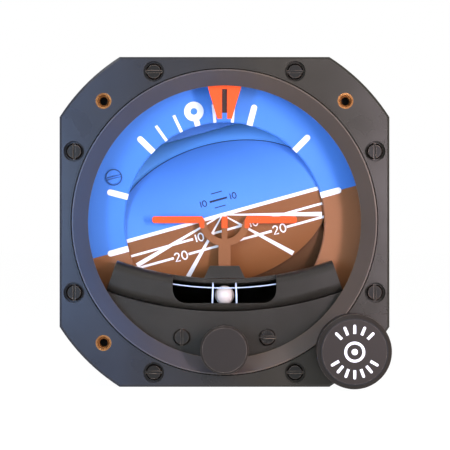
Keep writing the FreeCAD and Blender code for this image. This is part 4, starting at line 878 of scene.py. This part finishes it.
class INDICATOR_OT_drum_marks(bpy.types.Operator):
    """Raise the horizon, the climb and dive lines, their figures and the perspective lines on the drum"""
    bl_idname = "indicator.drum_marks"
    bl_label = "Drum markings"

    def execute(self, context):
        size = sizes()
        lift = size.horizon_lift / MM

        def edge(up):
            """How far the drum face reaches across at a height."""
            share = (up - PLATE_MIDDLE) / PLATE_RISE
            return PLATE_HALF * math.sqrt(max(0, 1 - share * share)) - 0.25

        def mark(quads, name, finish, share=1.0):
            """Lay a marking that stands off by a share of the ink height."""
            piece = lay(name, quads, on_drum, size.ink_height * share, step=0.6 * MM)
            dress(piece, "pitch_assembly", finish)

        # Thin dark lines round the rim of the raised face: painted shadow of its edge, blue on the sky and
        # brown on the ground.
        inset = 0.12
        split = math.degrees(math.asin((lift - PLATE_MIDDLE) / PLATE_RISE))
        for name, finish, start, end in (("sky_edge", "screw_shade", split, 180 - split),
                                         ("ground_edge", "edge_brown", 180 - split, 360 + split)):
            rim = [(x * (PLATE_HALF - inset), PLATE_MIDDLE + y * (PLATE_RISE - inset))
                   for x, y in arc_points((0, 0), 1, start, end, 60)]
            mark(stroke(rim, 2 * inset), name, finish, 0.4)
        mark(bar(edge(lift), lift, size.horizon_width / MM), "horizon_band", "mark_white", 1.3)
        climb_up = 6.15
        climb = bar(1.5, 4.27, 0.25) + bar(2.4, climb_up, 0.5) + bar(1.5, 8.14, 0.25)
        for side in (-1, 1):
            climb += figures("10", (side * 4.1, climb_up), 1.55, 0.26)
        mark(climb, "climb_marks", "mark_ink")
        width, pen = size.ground_line / MM, size.figure_stroke / MM
        shallow, deep = -2.16, -5.69
        dive = bar(5.4, shallow, width) + bar(11.5, deep, width)
        for side in (-1, 1):
            dive += figures("10", (side * 7.5, shallow), 2.0, pen)
            dive += figures("20", (side * 13.6, deep), 2.15, pen)
            for start, up in ((9.3, shallow), (15.6, deep)):
                dive += line((side * start, up), (side * edge(up), up), width)
        mark(dive, "dive_marks", "mark_white")
        rays = (("left_flat_ray", (-25.6, -4.9), 0.5), ("right_flat_ray", (25.6, -4.9), 0.6),
                ("left_steep_ray", (-13.3, -11.5), 0.7), ("right_steep_ray", (15.5, -13.0), 0.8))
        for name, end, share in rays:
            mark(line((0, lift), end, 0.3, 1.2), name, "mark_white", share)
        return {"FINISHED"}


class INDICATOR_OT_drum_barrel(bpy.types.Operator):
    """Close the drum behind its raised face with a sky half and a ground half"""
    bl_idname = "indicator.drum_barrel"
    bl_label = "Drum barrel"

    def execute(self, context):
        size = sizes()
        split = math.asin(size.horizon_lift / DRUM_RADIUS)
        # The sky half of the barrel glows through its finish: painted light.
        for half, start in (("sky", split), ("ground", split - math.pi)):
            barrel = half_barrel(half + "_barrel", size.barrel_radius, size.barrel_half_width, start)
            dress(barrel, "pitch_assembly", half + "_paint")
            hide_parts(half + "_shell")
        # Flat shields behind the dial cover the dark gap above and below the barrel, so painted colour
        # shows where shadow would be; the sky shield's blue is darkened as painted shade.
        reach, chord, depth = 27.5, 25.1, 34 * MM
        corner = math.degrees(math.asin(chord / reach))

        def behind_dial(across, up, height):
            return banked(across, up, depth - height)

        for half, turn in (("sky", 0), ("ground", 180)):
            segment = arc_points((0, 0), reach, turn + corner, turn + 180 - corner)
            shade = lay(half + "_shade", [segment], behind_dial, 0.4 * MM)
            dress(shade, "roll_assembly", "shade_" + half)
        return {"FINISHED"}


class INDICATOR_OT_tube_marks(bpy.types.Operator):
    """Bend the two centre wires round the glass tube of the inclinometer, and lay a painted highlight along
    the tube
    """
    bl_idname = "indicator.tube_marks"
    bl_label = "Inclinometer wires"

    def execute(self, context):
        radius = TUBE_RADIUS / MM
        top, bottom = radius * math.radians(86), -radius * math.radians(39)
        for name, across in (("left_wire", -3.12), ("right_wire", 3.12)):
            wire = lay(name, line((across, bottom), (across, top), 0.4), on_tube, 0.2 * MM, step=0.25 * MM)
            dress(wire, "case", "wire_white")
        # White line along the top of the tube: painted highlight of the glass, at the height where the
        # highlight shows.
        rise = radius * math.asin(1.93 / 3.1)
        tube_highlight = lay("level_line", bar(13.9, rise, 0.3, steps=40), on_tube, 0.06 * MM)
        dress(tube_highlight, "case", "wire_white")
        return {"FINISHED"}


class INDICATOR_OT_insert_threads(bpy.types.Operator):
    """Cut the look of a fine thread into the three brass mounting inserts"""
    bl_idname = "indicator.insert_threads"
    bl_label = "Insert threads"

    def execute(self, context):
        low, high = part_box("mounting_inserts")
        outer, bore, pitch, depth = 2.05 * MM, 1.375 * MM, 0.79 * MM, 0.28 * MM
        start, end = low.y + 0.45 * MM, low.y + 5.4 * MM
        places = {"upper_left": (low.x + outer, high.z - outer),
                  "upper_right": (high.x - outer, high.z - outer),
                  "lower_left": (low.x + outer, low.z + outer)}
        for name, centre in places.items():
            ridge = helix_ridge("thread_" + name, centre, bore, start, end, pitch, depth)
            dress(ridge, "case", "insert_brass")
            # Black discs close the far end of each bore; their black is painted shade of the deep hole.
            bottom = lay("blind_end_" + name, [disc((0, 0), 1.3)], facing(high.y, *centre), 0.6 * MM)
            dress(bottom, "case", "plug_black")
        return {"FINISHED"}


class INDICATOR_OT_caging_coil(bpy.types.Operator):
    """Wind the caging spring as a wire coil in place of the plain CAD spring"""
    bl_idname = "indicator.caging_coil"
    bl_label = "Caging spring coil"

    def execute(self, context):
        low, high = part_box("caging_spring")
        wire = 0.3 * MM
        centre = middle_of("caging_spring")
        spring = coil("spring_coil", centre, (high.x - low.x) / 2 - wire, wire * 0.9, low.y + wire,
                      high.y - wire, 9)
        spring.data.materials.append(finish_named("bright_steel"))
        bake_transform(spring)
        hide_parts("caging_spring")
        return {"FINISHED"}


class INDICATOR_OT_connector_thread(bpy.types.Operator):
    """Wind the coupling thread round the rear connector"""
    bl_idname = "indicator.connector_thread"
    bl_label = "Connector thread"

    def execute(self, context):
        low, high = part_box("connector_shell")
        radius, pitch, depth = 9.5 * MM, 1.4 * MM, 0.45 * MM
        ridge = helix_ridge("connector_thread", middle_of("connector_shell"), radius,
                            low.y + 3.2 * MM, high.y - 1.2 * MM, pitch, -depth)
        dress(ridge, "case", "connector_plate")
        return {"FINISHED"}


class INDICATOR_OT_knob_legend(bpy.types.Operator):
    """Fill plain white marks into the face of the caging knob, with a dark ring near its rim as painted
    shade of a groove
    """
    bl_idname = "indicator.knob_legend"
    bl_label = "Caging knob marks"

    def execute(self, context):
        width, ink = sizes().legend_stroke / MM, sizes().ink_height
        knob_face = facing(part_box("caging_knob")[0].y, *middle_of("caging_knob"))
        quads = []
        for angle in (-45, -22.5, 0, 22.5, 45, 120, 140, 160, 180, 200, 220, 240):
            quads += spoke(angle, 4.6, 6.9, width * 0.8, blunt=False)
        quads += loop((0, 0), 2.3, width * 0.75)
        quads.append(arc_points((0, 0), 0.8, 0, 345, 23))
        # The dark ring near the rim is painted shade of a groove.
        for name, shapes, height, finish in (
                ("knob_marks", quads, ink, "mark_white"),
                ("knob_groove", loop((0, 0), 8.35, 0.32), ink / 2, "plug_black")):
            dress(lay(name, shapes, knob_face, height), "caging_control", finish)
        return {"FINISHED"}


class INDICATOR_OT_stage(bpy.types.Operator):
    """Set the pale floor, the soft lights, the world and the camera"""
    bl_idname = "indicator.stage"
    bl_label = "Studio"

    def execute(self, context):
        self.lay_floor()
        self.light_world()
        for name, spot, size, power, tint, glossy in LAMPS:
            self.add_lamp(name, spot, size, power, tint).visible_glossy = glossy
        camera = bpy.data.cameras.new("view_camera")
        camera.lens = CAMERA_LENS
        camera.clip_start = 0.01
        holder = bpy.data.objects.new("view_camera", camera)
        holder.location = CAMERA_PLACE
        holder.rotation_euler = (math.pi / 2, 0, 0)
        context.scene.collection.objects.link(holder)
        context.scene.camera = holder
        return {"FINISHED"}

    def lay_floor(self):
        drop = CAD_BOX[0].z - 0.1 * MM
        mesh_maker = bmesh.new()
        bmesh.ops.create_circle(mesh_maker, cap_ends=True, segments=64, radius=FLOOR_RADIUS)
        for vert in mesh_maker.verts:
            vert.co.z = drop
        floor = finish_mesh("floor", mesh_maker)
        material, tree, shader = start_material("floor_paper")
        shader.inputs["Base Color"].default_value = (FLOOR_WHITE, FLOOR_WHITE, FLOOR_WHITE, 1)
        shader.inputs["Roughness"].default_value = 0.8
        glow = tree.nodes.new("ShaderNodeEmission")
        glow.inputs["Color"].default_value = (1, 1, 1, 1)
        glow.inputs["Strength"].default_value = FLOOR_GLOW
        share = math_node(tree, "MULTIPLY", rays_of(tree, "Camera", "Glossy", "Transmission"), 0.9)
        mix_shaders(tree, share, shader, glow, "Material Output")
        floor.data.materials.append(material)

    def light_world(self):
        """Dim white light on the object, and a full white for what the camera sees."""
        world = bpy.data.worlds.new("studio")
        bpy.context.scene.world = world
        world.use_nodes = True
        tree = world.node_tree
        plain = tree.nodes["Background"]
        plain.inputs["Color"].default_value = (1, 1, 1, 1)
        plain.inputs["Strength"].default_value = WORLD_LIGHT
        white = tree.nodes.new("ShaderNodeBackground")
        white.inputs["Color"].default_value = (1, 1, 1, 1)
        mix_shaders(tree, rays_of(tree, "Camera", "Glossy", "Transmission"), plain, white, "World Output")

    def add_lamp(self, name, spot, size, power, tint):
        lamp = bpy.data.lights.new(name, "AREA")
        lamp.shape = "RECTANGLE"
        lamp.size, lamp.size_y = size
        lamp.energy = power
        lamp.color = tint
        holder = bpy.data.objects.new(name, lamp)
        holder.location = spot
        holder.rotation_euler = (-Vector(spot)).to_track_quat("-Z", "Y").to_euler()
        holder.visible_camera = False
        bpy.context.scene.collection.objects.link(holder)
        return holder


OPERATORS = [INDICATOR_OT_finishes, INDICATOR_OT_dial_marks, INDICATOR_OT_bank_index,
             INDICATOR_OT_drum_marks, INDICATOR_OT_drum_barrel, INDICATOR_OT_tube_marks,
             INDICATOR_OT_insert_threads, INDICATOR_OT_caging_coil, INDICATOR_OT_connector_thread,
             INDICATOR_OT_knob_legend, INDICATOR_OT_stage]


class INDICATOR_PT_panel(bpy.types.Panel):
    """Lists the steps that dress the indicator"""
    bl_idname = "INDICATOR_PT_panel"
    bl_label = "Attitude indicator"
    bl_space_type = "VIEW_3D"
    bl_region_type = "UI"
    bl_category = "Indicator"

    def draw(self, context):
        for operator in OPERATORS:
            self.layout.operator(operator.bl_idname)
        for group in (context.scene.indicator_colours, context.scene.indicator_sizes):
            for name in group.__annotations__:
                self.layout.prop(group, name)


CLASSES = [IndicatorColours, IndicatorSizes, *OPERATORS, INDICATOR_PT_panel]


def register():
    for entry in CLASSES:
        bpy.utils.register_class(entry)
    bpy.types.Scene.indicator_colours = bpy.props.PointerProperty(type=IndicatorColours)
    bpy.types.Scene.indicator_sizes = bpy.props.PointerProperty(type=IndicatorSizes)


def unregister():
    del bpy.types.Scene.indicator_sizes
    del bpy.types.Scene.indicator_colours
    for entry in reversed(CLASSES):
        bpy.utils.unregister_class(entry)


def main():
    register()
    bpy.context.scene.view_settings.view_transform = "Standard"
    for operator in OPERATORS:
        group, name = operator.bl_idname.split(".")
        getattr(getattr(bpy.ops, group), name)()


if __name__ == "__main__":
    main()
